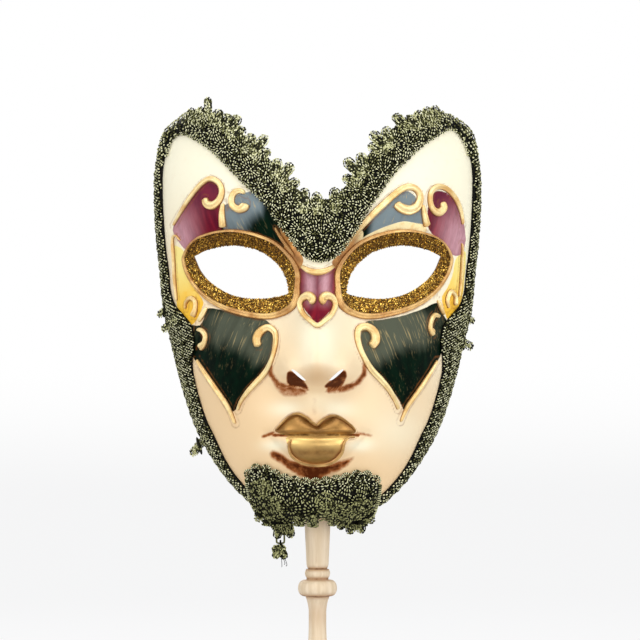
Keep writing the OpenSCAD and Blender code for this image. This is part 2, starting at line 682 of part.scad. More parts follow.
// Loose tail of lace: it hangs by an eye of thread from a thread loop under the chin lace
tail_col = 8;
tail_hang = 2.6;
thread_r = 0.5;
eye_clearance = 0.3;
loop_w = 5;
tail_r = 2.6;
tail_x = chin_mid + chin_lace_w * (tail_col / chin_cols - 0.5);
tail_low_z = curve(CHIN_LOW, tail_col / chin_cols) + 106 - chin_drop - chin_lace_hang - chin_lobe(tail_col);
tail_axis = lace_at([tail_x, tail_low_z], crease + lace_t / 4) - [0, 0, tail_hang];
module tail_loop()
    color("darkolivegreen")
        translate(tail_axis) {
            rotate([0, 90, 0]) cylinder(r = thread_r, h = loop_w, center = true);
            for (side = [-1, 1])
                translate([side * (loop_w / 2 - thread_r), 0, 0])
                    cylinder(r = thread_r * 0.9, h = tail_hang - 0.3);
        }
module lace_tail() {
    eye_r = thread_r + eye_clearance + thread_r;
    color("darkolivegreen")
        translate(tail_axis) {
            rotate([0, 90, 0]) rotate_extrude() translate([eye_r, 0]) circle(r = thread_r, $fn = 24);
            translate([0, 0, -eye_r - 3.4]) cylinder(r = thread_r * 0.9, h = 3.4);
            for (p = [[-2.2, -4.6], [2.2, -4.8], [-3, -8.2], [2.6, -8.6], [-0.2, -10.6], [0, -6.6]])
                translate([p[0], 0, p[1] - eye_r + thread_r])
                    rotate([90, 0, 0])
                        cylinder(r = tail_r, h = 2.4, center = true);
        }
}

// Turned stick, from the domed end of the grip up to the tenon
function arc(r, z0, h, swell, n) = [for (k = [0 : n]) [r + swell * sin(180 * k / n), z0 + h * k / n]];
NECK = [[0, 0], [0.3, 0.1], [0.55, 0.75], [0.75, 1], [1, 1]];
module turned_stick() {
    seat_d = 12.6;
    neck = [
        for (k = [1 : 12])
            [grip_d / 2 + (neck_d - grip_d) / 2 * curve(NECK, k / 12), grip_l + neck_l * 0.8 * k / 12]
    ];
    flare = [
        for (k = [1 : 5])
            [neck_d / 2 + (seat_d - neck_d) / 2 * pow(k / 5, 1.8), grip_l + neck_l * (0.8 + 0.2 * k / 5)]
    ];
    dome = [for (k = [0 : 5]) [grip_d / 2 * sin(18 * k), -grip_d / 3 * cos(18 * k)]];
    bead = [
        for (k = [1 : 15])
            [
                seat_d / 2 + (bead_d - seat_d) / 2 * pow(sin(12 * k), 0.6),
                bead_z + bead_h * (1 - cos(12 * k)) / 2
            ]
    ];
    groove = [[seat_d / 2 - 0.6, bead_z + bead_h + 0.2], [seat_d / 2 - 0.6, ring_z]];
    ring = arc(seat_d / 2 - 0.4, ring_z, ring_h, (ring_d - seat_d) / 2 + 0.4, 8);
    cove = [for (k = [0 : 4]) [waist_d / 2 - 0.9 * (1 - k / 4) * (1 - k / 4), shaft_z + 0.1 + 3 * k / 4]];
    color("burlywood")
        rotate_extrude()
            polygon(concat(
                dome, [[grip_d / 2, grip_l]], neck, flare, bead, groove, ring, cove,
                [[stick_d / 2, shoulder_z], [tenon_d / 2, shoulder_z]],
                [[tenon_d / 2, shoulder_z + tenon_l - 1], [tenon_d / 2 - 1, shoulder_z + tenon_l]],
                [[0, shoulder_z + tenon_l]]
            ));
}

// Wooden socket block, glued inside the chin and bored for the tenon
module socket_block() {
    foot = shoulder_z + 0.2;
    rows = 8;
    across = 8;
    grid = [
        for (r = [rows : -1 : 0])
            [for (i = [0 : across]) [block_w * (i / across - 0.5), foot - face_z + block_h * r / rows]]
    ];
    color("peru")
        difference() {
            slab(
                [for (row = grid) [for (p = row) behind(p, shell_wall + seat + 1.5 * crease)]],
                [for (row = grid) [for (p = row) [p[0], block_back, face_z + p[1]]]]
            );
            translate([0, 0, foot - 1])
                cylinder(r = tenon_d / 2 + tenon_clearance, h = tenon_l + 2.5);
        }
}

mask_shell();
left_eye_glitter();
right_eye_glitter();
left_eye_rim();
right_eye_rim();
left_temple_scroll();
right_temple_scroll();
left_brow_scroll();
right_brow_scroll();
left_brow_line();
left_divider_bar();
right_divider_bar();
left_temple_line();
right_temple_line();
left_temple_leaf();
right_temple_leaf();
left_temple_stem();
right_temple_stem();
left_cheek_curl();
right_cheek_curl();
left_cheek_line();
right_cheek_line();
left_cheek_scroll();
right_cheek_scroll();
nose_bar();
nose_heart();
upper_lip_rim();
lower_lip_rim();
left_brow_lace();
right_brow_lace();
left_edge_braid();
right_edge_braid();
chin_lace();
tail_loop();
lace_tail();
turned_stick();
socket_block();
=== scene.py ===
import json
import math
import random

import bmesh
import bpy
import numpy as np
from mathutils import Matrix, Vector


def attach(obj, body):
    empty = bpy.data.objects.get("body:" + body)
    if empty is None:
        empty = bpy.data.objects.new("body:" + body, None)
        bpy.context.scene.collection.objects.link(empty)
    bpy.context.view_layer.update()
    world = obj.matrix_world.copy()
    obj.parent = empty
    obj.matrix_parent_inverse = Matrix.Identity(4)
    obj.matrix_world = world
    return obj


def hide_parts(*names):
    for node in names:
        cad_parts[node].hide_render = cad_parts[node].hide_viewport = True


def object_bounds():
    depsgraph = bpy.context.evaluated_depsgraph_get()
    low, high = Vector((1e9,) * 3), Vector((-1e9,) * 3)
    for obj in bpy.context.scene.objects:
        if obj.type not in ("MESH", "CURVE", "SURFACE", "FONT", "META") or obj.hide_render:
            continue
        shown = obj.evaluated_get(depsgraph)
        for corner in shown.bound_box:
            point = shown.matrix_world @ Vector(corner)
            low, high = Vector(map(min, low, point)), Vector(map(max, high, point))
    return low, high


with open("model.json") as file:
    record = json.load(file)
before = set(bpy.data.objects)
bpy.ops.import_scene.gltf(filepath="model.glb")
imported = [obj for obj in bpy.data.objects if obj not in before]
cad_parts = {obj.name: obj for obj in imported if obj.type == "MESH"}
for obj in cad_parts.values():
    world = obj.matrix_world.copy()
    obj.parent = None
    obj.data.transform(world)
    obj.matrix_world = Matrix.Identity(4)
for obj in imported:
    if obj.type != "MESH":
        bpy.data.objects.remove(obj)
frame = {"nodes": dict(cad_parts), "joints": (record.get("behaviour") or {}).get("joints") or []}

cad_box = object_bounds()
MM = 0.001
SIDES = {-1: "left", 1: "right"}

# Sizes in millimetres, as in the part's source. Face points are [x, z] from the face line.
FACE_Z = 284.2
SETBACK = 21.0
HALF_TEMPLE = 83.0
TEMPLE_Z = 72.0
CHIN_DROP = 106.0
CHIN_EDGE_Z = -104.0
NOTCH_Z = 41.5
PEAK_Z = 101.5
WALL = 2.2
SEAT = 0.3
PIPE_W = 2.4
PIPE_H = 1.6
RIM_W = 2.6
EYE_IN = 14.5
EYE_OUT = 64.5
EYE_Z = 24.5
MOUTH_Z = -59.0
WRAP_DEEP = 64.0
NOSE_OUT = 23.0
NOSE_HALF = 15.0
WINGS_OUT = 9.0
UPPER_LIP_OUT = 3.0
LOWER_LIP_OUT = 5.5

PEAK = [[0, 0], [0.11, 0.11], [0.31, 0.43], [0.55, 0.715], [0.74, 0.91], [0.86, 1], [0.94, 0.975], [1, 0.84]]
MIDDLE = [[-106, -12], [-98, -4], [-84, 0], [-60, 2], [-30, 1], [0, 0], [40, 2], [70, 0], [106, -10]]
WRAP = [[-106, 0.2], [-92, 0.45], [-74, 0.75], [-50, 0.95], [-20, 1], [106, 1]]
RIDGE = [
    [-46, 0], [-40, 0.03], [-37, 0.12], [-34, 0.36], [-31, 0.68], [-27, 0.92], [-21, 1], [-14, 0.95],
    [0, 0.76], [16, 0.54], [32, 0.36], [48, 0.18], [68, 0],
]
BREADTH = [[-46, 1.1], [-30, 1.08], [-20, 1], [-8, 0.95], [6, 0.92], [22, 0.95], [40, 1.1], [68, 1.5]]
UPPER_LIP = [[0, -55], [4.5, -52.4], [10, -49.5], [15, -51.2], [20, -56], [23, -59]]
LOWER_LIP = [[0, -74.5], [8, -73.6], [16, -69.5], [22, -63.5], [25, -59.5]]
UPPER_LIP_END = UPPER_LIP[-1][0]
LOWER_LIP_END = LOWER_LIP[-1][0]
UPPER_LID = [
    [0, -11], [0.015, -6], [0.05, -0.8], [0.13, 5], [0.3, 11.3], [0.58, 14.4], [0.85, 12.2], [1, 8.8],
]
LOWER_LID = [[0, -11], [0.12, -12.6], [0.37, -13.7], [0.6, -11.7], [0.8, -6], [0.93, 1], [1, 8.8]]
EYE_BAND = [
    [-3, 1.5], [-5.8, 1.8], [-5, 4.5], [-0.5, 6.7], [3, 6.7], [3.8, 5],
    [4.4, -0.2], [5.8, -1], [5.5, -3.7], [2.5, -5.8], [-2, -7.6], [-3.8, -4.5],
]
# Swells and hollows on both sides of the face: how far out, where, and their spread across and up
SWELLS = [
    (2.5, 0, -19, 10, 9), (-10, 40, 24, 25, 17), (2.5, 34, 56, 30, 12), (7, 42, -20, 22, 26),
    (6, 0, -58, 30, 22), (6, 0, -96, 20, 12), (-2, 0, -81, 20, 6), (-1, 25, -28, 5, 8),
    (-1.2, 0, -44, 3.6, 7), (-1.2, 25.5, -60, 3.5, 3.5),
]


def curve(table, place):
    """Smooth curve through a table of [place, value] points."""
    xs, ys = np.array(table, float).T
    lean = np.empty_like(ys)
    lean[1:-1] = (ys[2:] - ys[:-2]) / (xs[2:] - xs[:-2])
    lean[0] = (ys[1] - ys[0]) / (xs[1] - xs[0])
    lean[-1] = (ys[-1] - ys[-2]) / (xs[-1] - xs[-2])
    t = np.clip(place, xs[0], xs[-1])
    i = np.clip(np.searchsorted(xs, t, side="right") - 1, 0, len(xs) - 2)
    h = xs[i + 1] - xs[i]
    s = (t - xs[i]) / h
    return (
        (2 * s**3 - 3 * s**2 + 1) * ys[i] + (s**3 - 2 * s**2 + s) * h * lean[i]
        + (3 * s**2 - 2 * s**3) * ys[i + 1] + (s**3 - s**2) * h * lean[i + 1]
    )


def rise(a, b, t):
    """0 at a, 1 at b, and smooth between."""
    s = np.clip((t - a) / (b - a), 0, 1)
    return s * s * (3 - 2 * s)


def swell(x, z, cx, cz, sx, sz):
    return np.exp(-((x - cx) / sx) ** 2 - ((z - cz) / sz) ** 2)


def half_width(z):
    """Half the shell's width at a height."""
    t = np.clip((z + CHIN_DROP) / (TEMPLE_Z + CHIN_DROP), 0.012, 1)
    over = np.maximum(z - TEMPLE_Z, 0) / 34
    return HALF_TEMPLE * np.sqrt(1 - (1 - t) ** 2.4) * (1 - 0.09 * over**2)


def top_edge(u):
    """Height of the notched brow at a share of the half width."""
    return NOTCH_Z + (PEAK_Z - NOTCH_Z) * curve(PEAK, np.abs(u))


def reach(x, z):
    """Reach of the face towards the viewer."""
    a = np.abs(x)
    s = np.clip(a / half_width(z), 0, 1)
    wrap = WRAP_DEEP * curve(WRAP, z) * (1 - np.sqrt(1 - (0.97 * s) ** 2.15))
    nose = NOSE_OUT * curve(RIDGE, z) * np.exp(-((a / (NOSE_HALF * curve(BREADTH, z))) ** 2.1))
    wings = WINGS_OUT * swell(a, z, 16, -24, 6.5, 9) * rise(-38, -28, z)
    t = (z - MOUTH_Z) / np.maximum(curve(UPPER_LIP, a) - MOUTH_Z, 0.4)
    end = a / UPPER_LIP_END
    pout = UPPER_LIP_OUT * (1 - t * t) * (1 - np.minimum(end, 1) ** 4)
    upper = np.where((t < 0) | (t > 1) | (end > 1), 0, pout)
    crease = 1.5 * np.exp(-(((z - MOUTH_Z) / 1.3) ** 2) - end**6)
    t = (MOUTH_Z - z) / np.maximum(MOUTH_Z - curve(LOWER_LIP, a), 0.4)
    end = a / LOWER_LIP_END
    pout = LOWER_LIP_OUT * (1 - ((t - 0.42) / 0.58) ** 2) * (1 - np.minimum(end, 1) ** 2.4)
    lower = np.where((t < 0) | (t > 1) | (end > 1), 0, pout)
    swells = sum(out * swell(a, z, *where) for out, *where in SWELLS)
    return curve(MIDDLE, z) - wrap + nose + wings + swells + upper + lower - crease


def tilt(x, z):
    """How steeply the face comes forwards, across and up."""
    step = 0.4
    return (
        (reach(x + step, z) - reach(x - step, z)) / 2 / step,
        (reach(x, z + step) - reach(x, z - step)) / 2 / step,
    )


def unit(v):
    return v / np.maximum(np.linalg.norm(v, axis=-1, keepdims=True), 1e-9)


def front(x, z):
    """Points on the front of the face."""
    return np.stack([x, -SETBACK - reach(x, z), FACE_Z + z], -1)


def facing(x, z):
    """The face's outward normal."""
    gx, gz = tilt(x, z)
    return unit(np.stack([-gx, -np.ones_like(gx), -gz], -1))


def wall_depth(x, z):
    """The wall's thickness measured straight back, which grows where the face turns away."""
    gx, gz = tilt(x, z)
    return WALL * np.minimum(np.sqrt(1 + gx**2 + gz**2), 2.5)


def off_edge(x, z, lift):
    """A point over the face, or past its edge on the same sweep."""
    hz = np.maximum(z, CHIN_EDGE_Z)
    w = 0.985 * half_width(hz)
    hx = np.clip(x, -w, w)
    # Lace that hangs free under the chin turns to face forwards
    hung = np.clip((hz - z) / 3, 0, 1)[..., None]
    out = unit(facing(hx, hz) * (1 - hung) + np.array([0.0, -1.0, 0.0]) * hung)
    at = front(hx, hz) + np.stack([x - hx, 0 * x, z - hz], -1)
    return at + out * (SEAT + np.asarray(lift))[..., None], out


def route(points, cuts, closed=False):
    """Smooth run through given points."""
    p = np.array(points, float)
    n = len(p)
    at = (lambda i: p[i % n]) if closed else (lambda i: p[min(max(i, 0), n - 1)])
    made = []
    for i in range(n if closed else n - 1):
        a, b, c, d = at(i - 1), at(i), at(i + 1), at(i + 2)
        for s in np.arange(cuts) / cuts:
            made.append(0.5 * (2 * b + (c - a) * s + (2 * a - 5 * b + 4 * c - d) * s**2
                               + (3 * b - a - 3 * c + d) * s**3))
    if not closed:
        made.append(p[-1])
    return np.array(made)


def lengths(run):
    """How far along a run each of its points lies."""
    return np.concatenate([[0], np.cumsum(np.linalg.norm(np.diff(run, axis=0), axis=1))])


def points_at(run, places):
    """The [x, z] points at given lengths along a run."""
    gone = lengths(run)
    return np.stack([np.interp(places, gone, run[:, k]) for k in (0, 1)], -1)


def even_run(points, count):
    """A smooth run through points, cut into even lengths."""
    run = route(points, 8)
    return points_at(run, np.linspace(0, lengths(run)[-1], count))


def half_loop(middle, along, out, count=9):
    """Half a ring about a middle, from one direction over another and down to the first one's far side."""
    turn = np.linspace(0, math.pi, count)[:, None]
    return middle + np.cos(turn) * along + np.sin(turn) * out


# Meshes


def sheet(bm, along, across, place):
    """A grid whose points go where place(s, t) says, with s and t from 0 to 1."""
    made = bmesh.ops.create_grid(bm, x_segments=along, y_segments=across, size=0.5)["verts"]
    st = np.array([v.co[:2] for v in made]) + 0.5
    for v, p in zip(made, place(st[:, 0], st[:, 1])):
        v.co = p
    return made


def close_up(bm, gap=0.002):
    """Merges seams, fills open ends and points the faces outwards."""
    bmesh.ops.remove_doubles(bm, verts=bm.verts, dist=gap)
    bmesh.ops.dissolve_degenerate(bm, edges=bm.edges, dist=gap / 4)
    open_edges = [e for e in bm.edges if e.is_boundary]
    if open_edges:
        bmesh.ops.holes_fill(bm, edges=open_edges, sides=0)
    bmesh.ops.recalc_face_normals(bm, faces=bm.faces)


def piece_of(name, bm, finish, nodes=(), body="mask", crease=0):
    """Makes a piece of a mesh in millimetres, puts it under its body's empty and hides the CAD nodes that it
    stands in for.
    """
    bmesh.ops.scale(bm, vec=(MM, MM, MM), verts=bm.verts)
    mesh = bpy.data.meshes.new(name)
    bm.to_mesh(mesh)
    bm.free()
    mesh.shade_smooth()
    if crease:
        mesh.set_sharp_from_angle(angle=math.radians(crease))
    mesh.materials.append(finish)
    piece = bpy.data.objects.new(name, mesh)
    bpy.context.scene.collection.objects.link(piece)
    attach(piece, body)
    if nodes:
        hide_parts(*nodes)
    return piece


def note(piece, name, values):
    """Keeps one number per point on a piece, for its finish to read."""
    kept = piece.data.attributes.new(name, "FLOAT", "POINT")
    kept.data.foreach_set("value", np.asarray(values, np.float32))


def small_shape(make, **settings):
    """A mesh for sow, from one of the mesh operators."""
    bm = bmesh.new()
    make(bm, **settings)
    mesh = bpy.data.meshes.new("small_shape")
    bm.to_mesh(mesh)
    bm.free()
    return mesh


def sow(bm, shape, centres, longs, outs, sizes):
    """Copies of one small shape, each turned to its own long and outward directions."""
    rest = np.empty(len(shape.vertices) * 3)
    shape.vertices.foreach_get("co", rest)
    outs = unit(np.asarray(outs, float))
    longs = np.asarray(longs, float)
    longs = unit(longs - outs * np.sum(longs * outs, axis=1, keepdims=True))
    turns = np.stack([longs, np.cross(outs, longs), outs], 1) * np.asarray(sizes, float)[:, :, None]
    spots = (rest.reshape(-1, 3) @ turns + np.asarray(centres)[:, None]).reshape(-1, 3)
    left, many, first = len(turns), shape, len(bm.verts)
    while left:
        if left % 2:
            bm.from_mesh(many)
        left //= 2
        twice = bmesh.new()
        twice.from_mesh(many)
        twice.from_mesh(many)
        many = bpy.data.meshes.new("many")
        twice.to_mesh(many)
        twice.free()
    bm.verts.ensure_lookup_table()
    for v, p in zip(bm.verts[first:], spots):
        v.co = p


# Finishes


def shade(r, g, b):
    """A colour given as it looks on a screen, from 0 to 255."""
    shares = [c / 255 for c in (r, g, b)]
    return (*(c / 12.92 if c <= 0.04045 else ((c + 0.055) / 1.055) ** 2.4 for c in shares), 1)


class Wire:
    """One output of a node, with the sums that a finish is written in."""

    def __init__(self, nodes, socket):
        self.nodes, self.socket = nodes, socket

    def sum(self, operation, *others, back=False):
        terms = (*others, self) if back else (self, *others)
        return self.nodes.make("ShaderNodeMath", {"operation": operation}, dict(enumerate(terms)))

    def __add__(self, other):
        return self.sum("ADD", other)

    def __sub__(self, other):
        return self.sum("SUBTRACT", other)

    def __mul__(self, other):
        return self.sum("MULTIPLY", other)

    def __rsub__(self, other):
        return self.sum("SUBTRACT", other, back=True)

    __radd__ = __add__
    __rmul__ = __mul__

    def step(self, low, high):
        """0 under low, 1 over high, and smooth between."""
        return self.nodes.make(
            "ShaderNodeMapRange", {"interpolation_type": "SMOOTHSTEP"},
            {"Value": self, "From Min": low, "From Max": high, "To Min": 0.0, "To Max": 1.0},
        )

    def most(self, other):
        """The greater of two values."""
        return self.sum("MAXIMUM", other)


class Nodes:
    """The nodes of a material or of the world, all made by one method."""

    def __init__(self, tree):
        self.tree = tree

    def make(self, kind, settings=None, sockets=None, out=0):
        """A node with its settings and inputs, as a wire from one of its outputs."""
        node = self.tree.nodes.new(kind)
        for key, value in (settings or {}).items():
            if key == "stops":
                while len(node.color_ramp.elements) < len(value):
                    node.color_ramp.elements.new(1)
                for element, (place, colour) in zip(node.color_ramp.elements, value):
                    element.position, element.color = place, colour
            else:
                setattr(node, key, value)
        for key, value in (sockets or {}).items():
            self.plug(node.inputs[key], value)
        return Wire(self, node.outputs[out])

    def plug(self, socket, value):
        """Links a wire to a socket, or sets the socket's own value."""
        if isinstance(value, Wire):
            self.tree.links.new(value.socket, socket)
        else:
            socket.default_value = value

    def when_seen(self):
        """1 where a camera, a reflection or a view through glass looks, 0 where light only bounces."""
        camera, glossy, through = (
            self.make("ShaderNodeLightPath", out=ray)
            for ray in ("Is Camera Ray", "Is Glossy Ray", "Is Transmission Ray")
        )
        return camera.most(glossy).most(through)


class Finish(Nodes):
    """A material on the shader's own sockets, with helpers for what varies over the surface."""

    def __init__(self, name):
        self.material = bpy.data.materials.new(name)
        self.material.use_nodes = True
        super().__init__(self.material.node_tree)
        self.shader = self.tree.nodes["Principled BSDF"]

    def set(self, sockets):
        """Fills the shader's sockets and gives the material."""
        for key, value in sockets.items():
            self.plug(self.shader.inputs[key], value)
        return self.material

    def where(self):
        """Places on the object, in metres."""
        return self.make("ShaderNodeTexCoord", out="Object")

    def spot(self, axis):
        """Places along one axis, in millimetres."""
        return self.make("ShaderNodeSeparateXYZ", None, {0: self.where()}, out=axis) * (1 / MM)

    def place(self, stretch=(1, 1, 1), turn=0.0):
        """Places for a texture, leaned over sideways and then stretched."""
        return self.make(
            "ShaderNodeMapping", {"vector_type": "TEXTURE"},
            {"Vector": self.where(), "Scale": [1 / s for s in stretch], "Rotation": (0, turn, 0)},
        )

    def noise(self, scale, detail=3.0, stretch=(1, 1, 1), turn=0.0):
        return self.make(
            "ShaderNodeTexNoise", None,
            {"Vector": self.place(stretch, turn), "Scale": scale, "Detail": detail, "Roughness": 0.6},
        )

    def height(self):
        """Height over the face line, in millimetres."""
        return self.spot(2) - FACE_Z

    def across(self):
        """How far to the viewer's right of the stick, in millimetres."""
        return self.spot(0)

    def kept(self, name):
        """What note kept on the piece."""
        return self.make("ShaderNodeAttribute", {"attribute_name": name}, out=2)

    def mix(self, factor, a, b):
        return self.make("ShaderNodeMix", {"data_type": "RGBA"}, {0: factor, 6: a, 7: b}, out=2)

    def ramp(self, value, *stops):
        return self.make("ShaderNodeValToRGB", {"stops": stops}, {0: value})

    def bump(self, height, depth, strength, over=None):
        sockets = {"Height": height, "Distance": depth, "Strength": strength}
        if over is not None:
            sockets["Normal"] = over
        return self.make("ShaderNodeBump", None, sockets)


def ivory_ground(f, x, z, cloud, fine, wash):
    """Ivory, warmer towards the chin, and warmer and darker towards the left cheek as painted shade, with a
    brown wash in the hollows.
    """
    # Painted shade: darker towards the left side, away from the light
    warm_and_side_shade = ((cloud - 0.5) * 26.0 - z - x * 0.28).step(-62, 66)
    ground = f.mix(warm_and_side_shade, shade(254, 248, 220), shade(245, 212, 164))
    ground = f.mix((fine - 0.5).step(0.02, 0.4) * 0.16, ground, shade(236, 196, 142))
    # Painted highlight: paler ivory where the face swells up to the light
    ground = f.mix(f.kept("rubbed") * 0.8, ground, shade(255, 247, 216))
    # Painted shade: the nose is tanner under its tip
    tip = (1.0 - x * x * 0.0075 - (z + 28.0) * (z + 28.0) * 0.022).most(0.0)
    ground = f.mix(tip * 0.5, ground, shade(206, 156, 98))
    ground = f.mix(wash.step(0.1, 0.6) * 0.92, ground, shade(162, 82, 20))
    return f.mix(wash.step(0.4, 0.9) * 0.94, ground, shade(72, 26, 4))


def brush_strokes(f, x, z):
    """Fine and broad strokes that lean to the middle over the cheeks, and away from it over the eyes."""
    lean = (x * (z - 15.0)).step(-1, 1)
    made = []
    for scale, flat in ((1050, 0.045), (210, 0.1)):
        left, right = (f.noise(scale, 2.0, (1, 1, flat), turn) for turn in (-0.38, 0.38))
        made.append(left + (right - left) * lean)
    return made


def varnished_paints(f, z, brush, broad):
    """Yellow, wine and green, streaked by the brush, with painted reflection, partly a paler veil of paint,
    where they turn up to the light.
    """
    veil = f.kept("veil")
    yellow = f.mix((z + (broad - 0.5) * 20.0).step(2, 34), shade(254, 198, 58), shade(255, 238, 146))
    wine = f.mix(broad.step(0.3, 0.7), shade(92, 18, 38), shade(136, 30, 44))
    wine = f.mix((z + (broad - 0.5) * 16.0).step(48, 66) * 0.6, wine, shade(108, 48, 68))
    # Painted reflection, partly paler paint: pink on the wine and slate on the green under the veil
    wine = f.mix(veil * (0.3 + broad * 0.6 + brush * 0.6), wine, shade(204, 156, 164))
    slate_sheen = f.mix(z.step(18, 30), shade(92, 96, 80), shade(134, 148, 152))
    green = f.mix(broad.step(0.3, 0.7), shade(1, 13, 6), shade(3, 27, 14))
    green = f.mix((veil + (broad - 0.5) * 0.7).step(0.15, 1.0) * 0.85, green, slate_sheen)
    streak = brush.step(0.55, 0.68) * f.noise(85, 3.0).step(0.36, 0.6)
    green = f.mix(streak * (0.1 + veil * 0.5), green, shade(196, 172, 118))
    return {"ochre": yellow, "wine": wine, "green": green}


def gilt_paint(f, aside, z, fine, wash):
    """Gold of the lips, and of the bands between the eyes and the brow."""
    gold = f.mix(f.noise(90, 4.0).step(0.35, 0.65), shade(116, 80, 34), shade(158, 116, 58))
    # Painted highlight: the lower lip paler above, dull over its middle, and lighter again towards its rim as
    # a painted reflection
    painted_shine = z.step(-69, -63) * z.step(-58, -60) * (0.34 + aside.step(0, 8) * 0.3)
    gold = f.mix(painted_shine, gold, shade(252, 214, 134))
    gold = f.mix(z.step(-67.5, -72) * 0.5, gold, shade(206, 162, 92))
    gold = f.mix(wash.step(0.3, 0.9) * 0.7, gold, shade(84, 48, 18))
    # Over the eyes the gilt is rubbed pale, and darkened to bronze beside the bridge of the nose as painted
    # shade
    pale = f.mix(fine.step(0.4, 0.7), shade(250, 232, 178), shade(238, 204, 140))
    bronze_shade = f.mix(f.noise(110, 4.0).step(0.3, 0.7), shade(116, 74, 34), shade(190, 138, 78))
    return f.mix(z.step(0, 10), gold, f.mix(aside.step(26, 17), pale, bronze_shade))


def painted_shell():
    """Ivory ground under varnished fields and gilt. The back is bare paste and paper."""
    f = Finish("painted_papier_mache")
    x, z = f.across(), f.height()
    cloud, fine, smear = f.noise(28, 3.0), f.noise(260, 4.0), f.noise(330, 5.0)
    wash = f.kept("wash") * (0.2 + smear * 1.5)
    brush, broad = brush_strokes(f, x, z)
    wobble = f.noise(420, 2.0) * 0.6 - 0.3
    fields = {name: (f.kept(name) + wobble).step(-0.22, 0.22) for name in FIELDS}
    paints = varnished_paints(f, z, brush, broad)
    paints["gilt"] = gilt_paint(f, x.sum("ABSOLUTE"), z, fine, wash)
    colour = ivory_ground(f, x, z, cloud, fine, wash)
    for name, field in fields.items():
        colour = f.mix(field, colour, paints[name])
    beside = f.kept("beside") * (0.3 + f.noise(240, 3.0))
    colour = f.mix(beside.step(0.4, 1.0) * 0.5, colour, shade(146, 88, 44))
    inner = f.kept("inner").step(0.4, 0.6)
    paper = f.mix(cloud.step(0.35, 0.65), shade(226, 214, 190), shade(240, 231, 210))
    paper = f.mix(f.noise(900, 3.0, (1, 1, 3)).step(0.55, 0.75) * 0.25, paper, shade(196, 178, 144))
    colour = f.mix(inner, colour, paper)
    outer = 1.0 - inner
    varnish = fields["green"].most(fields["wine"]) * outer
    rough = 0.46 - varnish * 0.06 - fields["gilt"] * 0.12 + (fine - 0.5) * 0.16 + inner * 0.4
    metal = fields["gilt"] * 0.6 * outer
    satin = (0.3 - varnish * 0.3 - wash.step(0.1, 0.5) * 0.3).most(0.0) * outer
    relief = f.bump(fine, 0.00012, 0.5)
    relief = f.bump(brush, 0.00006, 0.4, relief)
    relief = f.bump(f.noise(120, 5.0), 0.0004, 0.12, relief)
    return f.set({
        "Base Color": colour, "Roughness": rough, "Metallic": metal, "Normal": relief,
        "Coat Weight": satin, "Coat Roughness": 0.3, "Specular IOR Level": 0.03,
    })


def gilded_relief(name, deep, pale):
    """Gold paint over relief paste: pale where it is rubbed and at painted glints, brown along its feet,
    partly from settled wash and partly as painted shade.
    """
    f = Finish(name)
    tone = f.noise(110, 4.0)
    gold = f.mix(tone.step(0.3, 0.7), deep, pale)
    foot = f.kept("foot") + f.noise(300, 3.0) * 0.4 - 0.2
    # Browner along the feet: partly settled wash, partly painted shade where the moulding meets the face
    gold = f.mix(foot.step(0.3, 0.7) * 0.7, gold, shade(186, 128, 66))
    gold = f.mix(foot.step(0.66, 1.0) * 0.9, gold, shade(112, 64, 26))
    # Pale specks: painted glints, partly rubbed gilt
    gold = f.mix(f.noise(700, 3.0).step(0.66, 0.76) * 0.35, gold, shade(254, 244, 212))
    # Painted shade: browner beside the bridge of the nose
    aside = f.across().sum("ABSOLUTE")
    bridge_shade = aside.step(6, 9.5) * aside.step(30, 16) * f.height().step(20, 31)
    gold = f.mix(bridge_shade * (0.4 + tone * 0.5), gold, shade(142, 92, 42))
    rough = 0.3 + f.noise(260, 4.0) * 0.22
    relief = f.bump(f.noise(500, 3.0), 0.00016, 0.6)
    return f.set({"Base Color": gold, "Roughness": rough, "Metallic": 0.36, "Normal": relief})


def glitter_flakes():
    """Gold flakes, each with its own tone."""
    f = Finish("gold_glitter_flakes")
    tone = f.kept("tone")
    colour = f.ramp(
        tone, (0.0, shade(34, 20, 4)), (0.3, shade(84, 54, 10)), (0.6, shade(152, 106, 24)),
        (1.0, shade(240, 200, 96)),
    )
    rough = 0.45 - tone * 0.22
    return f.set({"Base Color": colour, "Roughness": rough, "Metallic": 0.85})


def glitter_glue():
    """Brown grainy glue that shows between the flakes."""
    f = Finish("glitter_glue")
    grain = f.noise(1500, 2.0)
    colour = f.mix(grain.step(0.35, 0.65), shade(66, 40, 8), shade(146, 96, 24))
    return f.set({
        "Base Color": colour, "Roughness": 0.35 + grain * 0.3, "Metallic": 0.5,
        "Normal": f.bump(grain, 0.0003, 0.8),
    })


def beaded_lace():
    """Black cord worked over with sage and pale stitches."""
    f = Finish("beaded_lace_thread")
    tone = f.kept("tone") + (f.noise(1300, 2.0) - 0.5) * 0.1
    # The palest tone is pale thread, brightened partly as a painted glint
    colour = f.ramp(
        tone, (0.0, shade(3, 3, 2)), (0.25, shade(33, 33, 16)), (0.5, shade(106, 106, 64)),
        (0.75, shade(182, 181, 125)), (1.0, shade(255, 253, 210)),
    )
    twist = f.make(
        "ShaderNodeTexWave", {"bands_direction": "DIAGONAL"},
        {"Vector": f.place(), "Scale": 900.0, "Distortion": 3.0, "Detail": 1.0},
    )
    return f.set({
        "Base Color": colour, "Roughness": 0.55 - tone * 0.15, "Normal": f.bump(twist, 0.0001, 0.4),
        "Specular IOR Level": 0.08,
    })


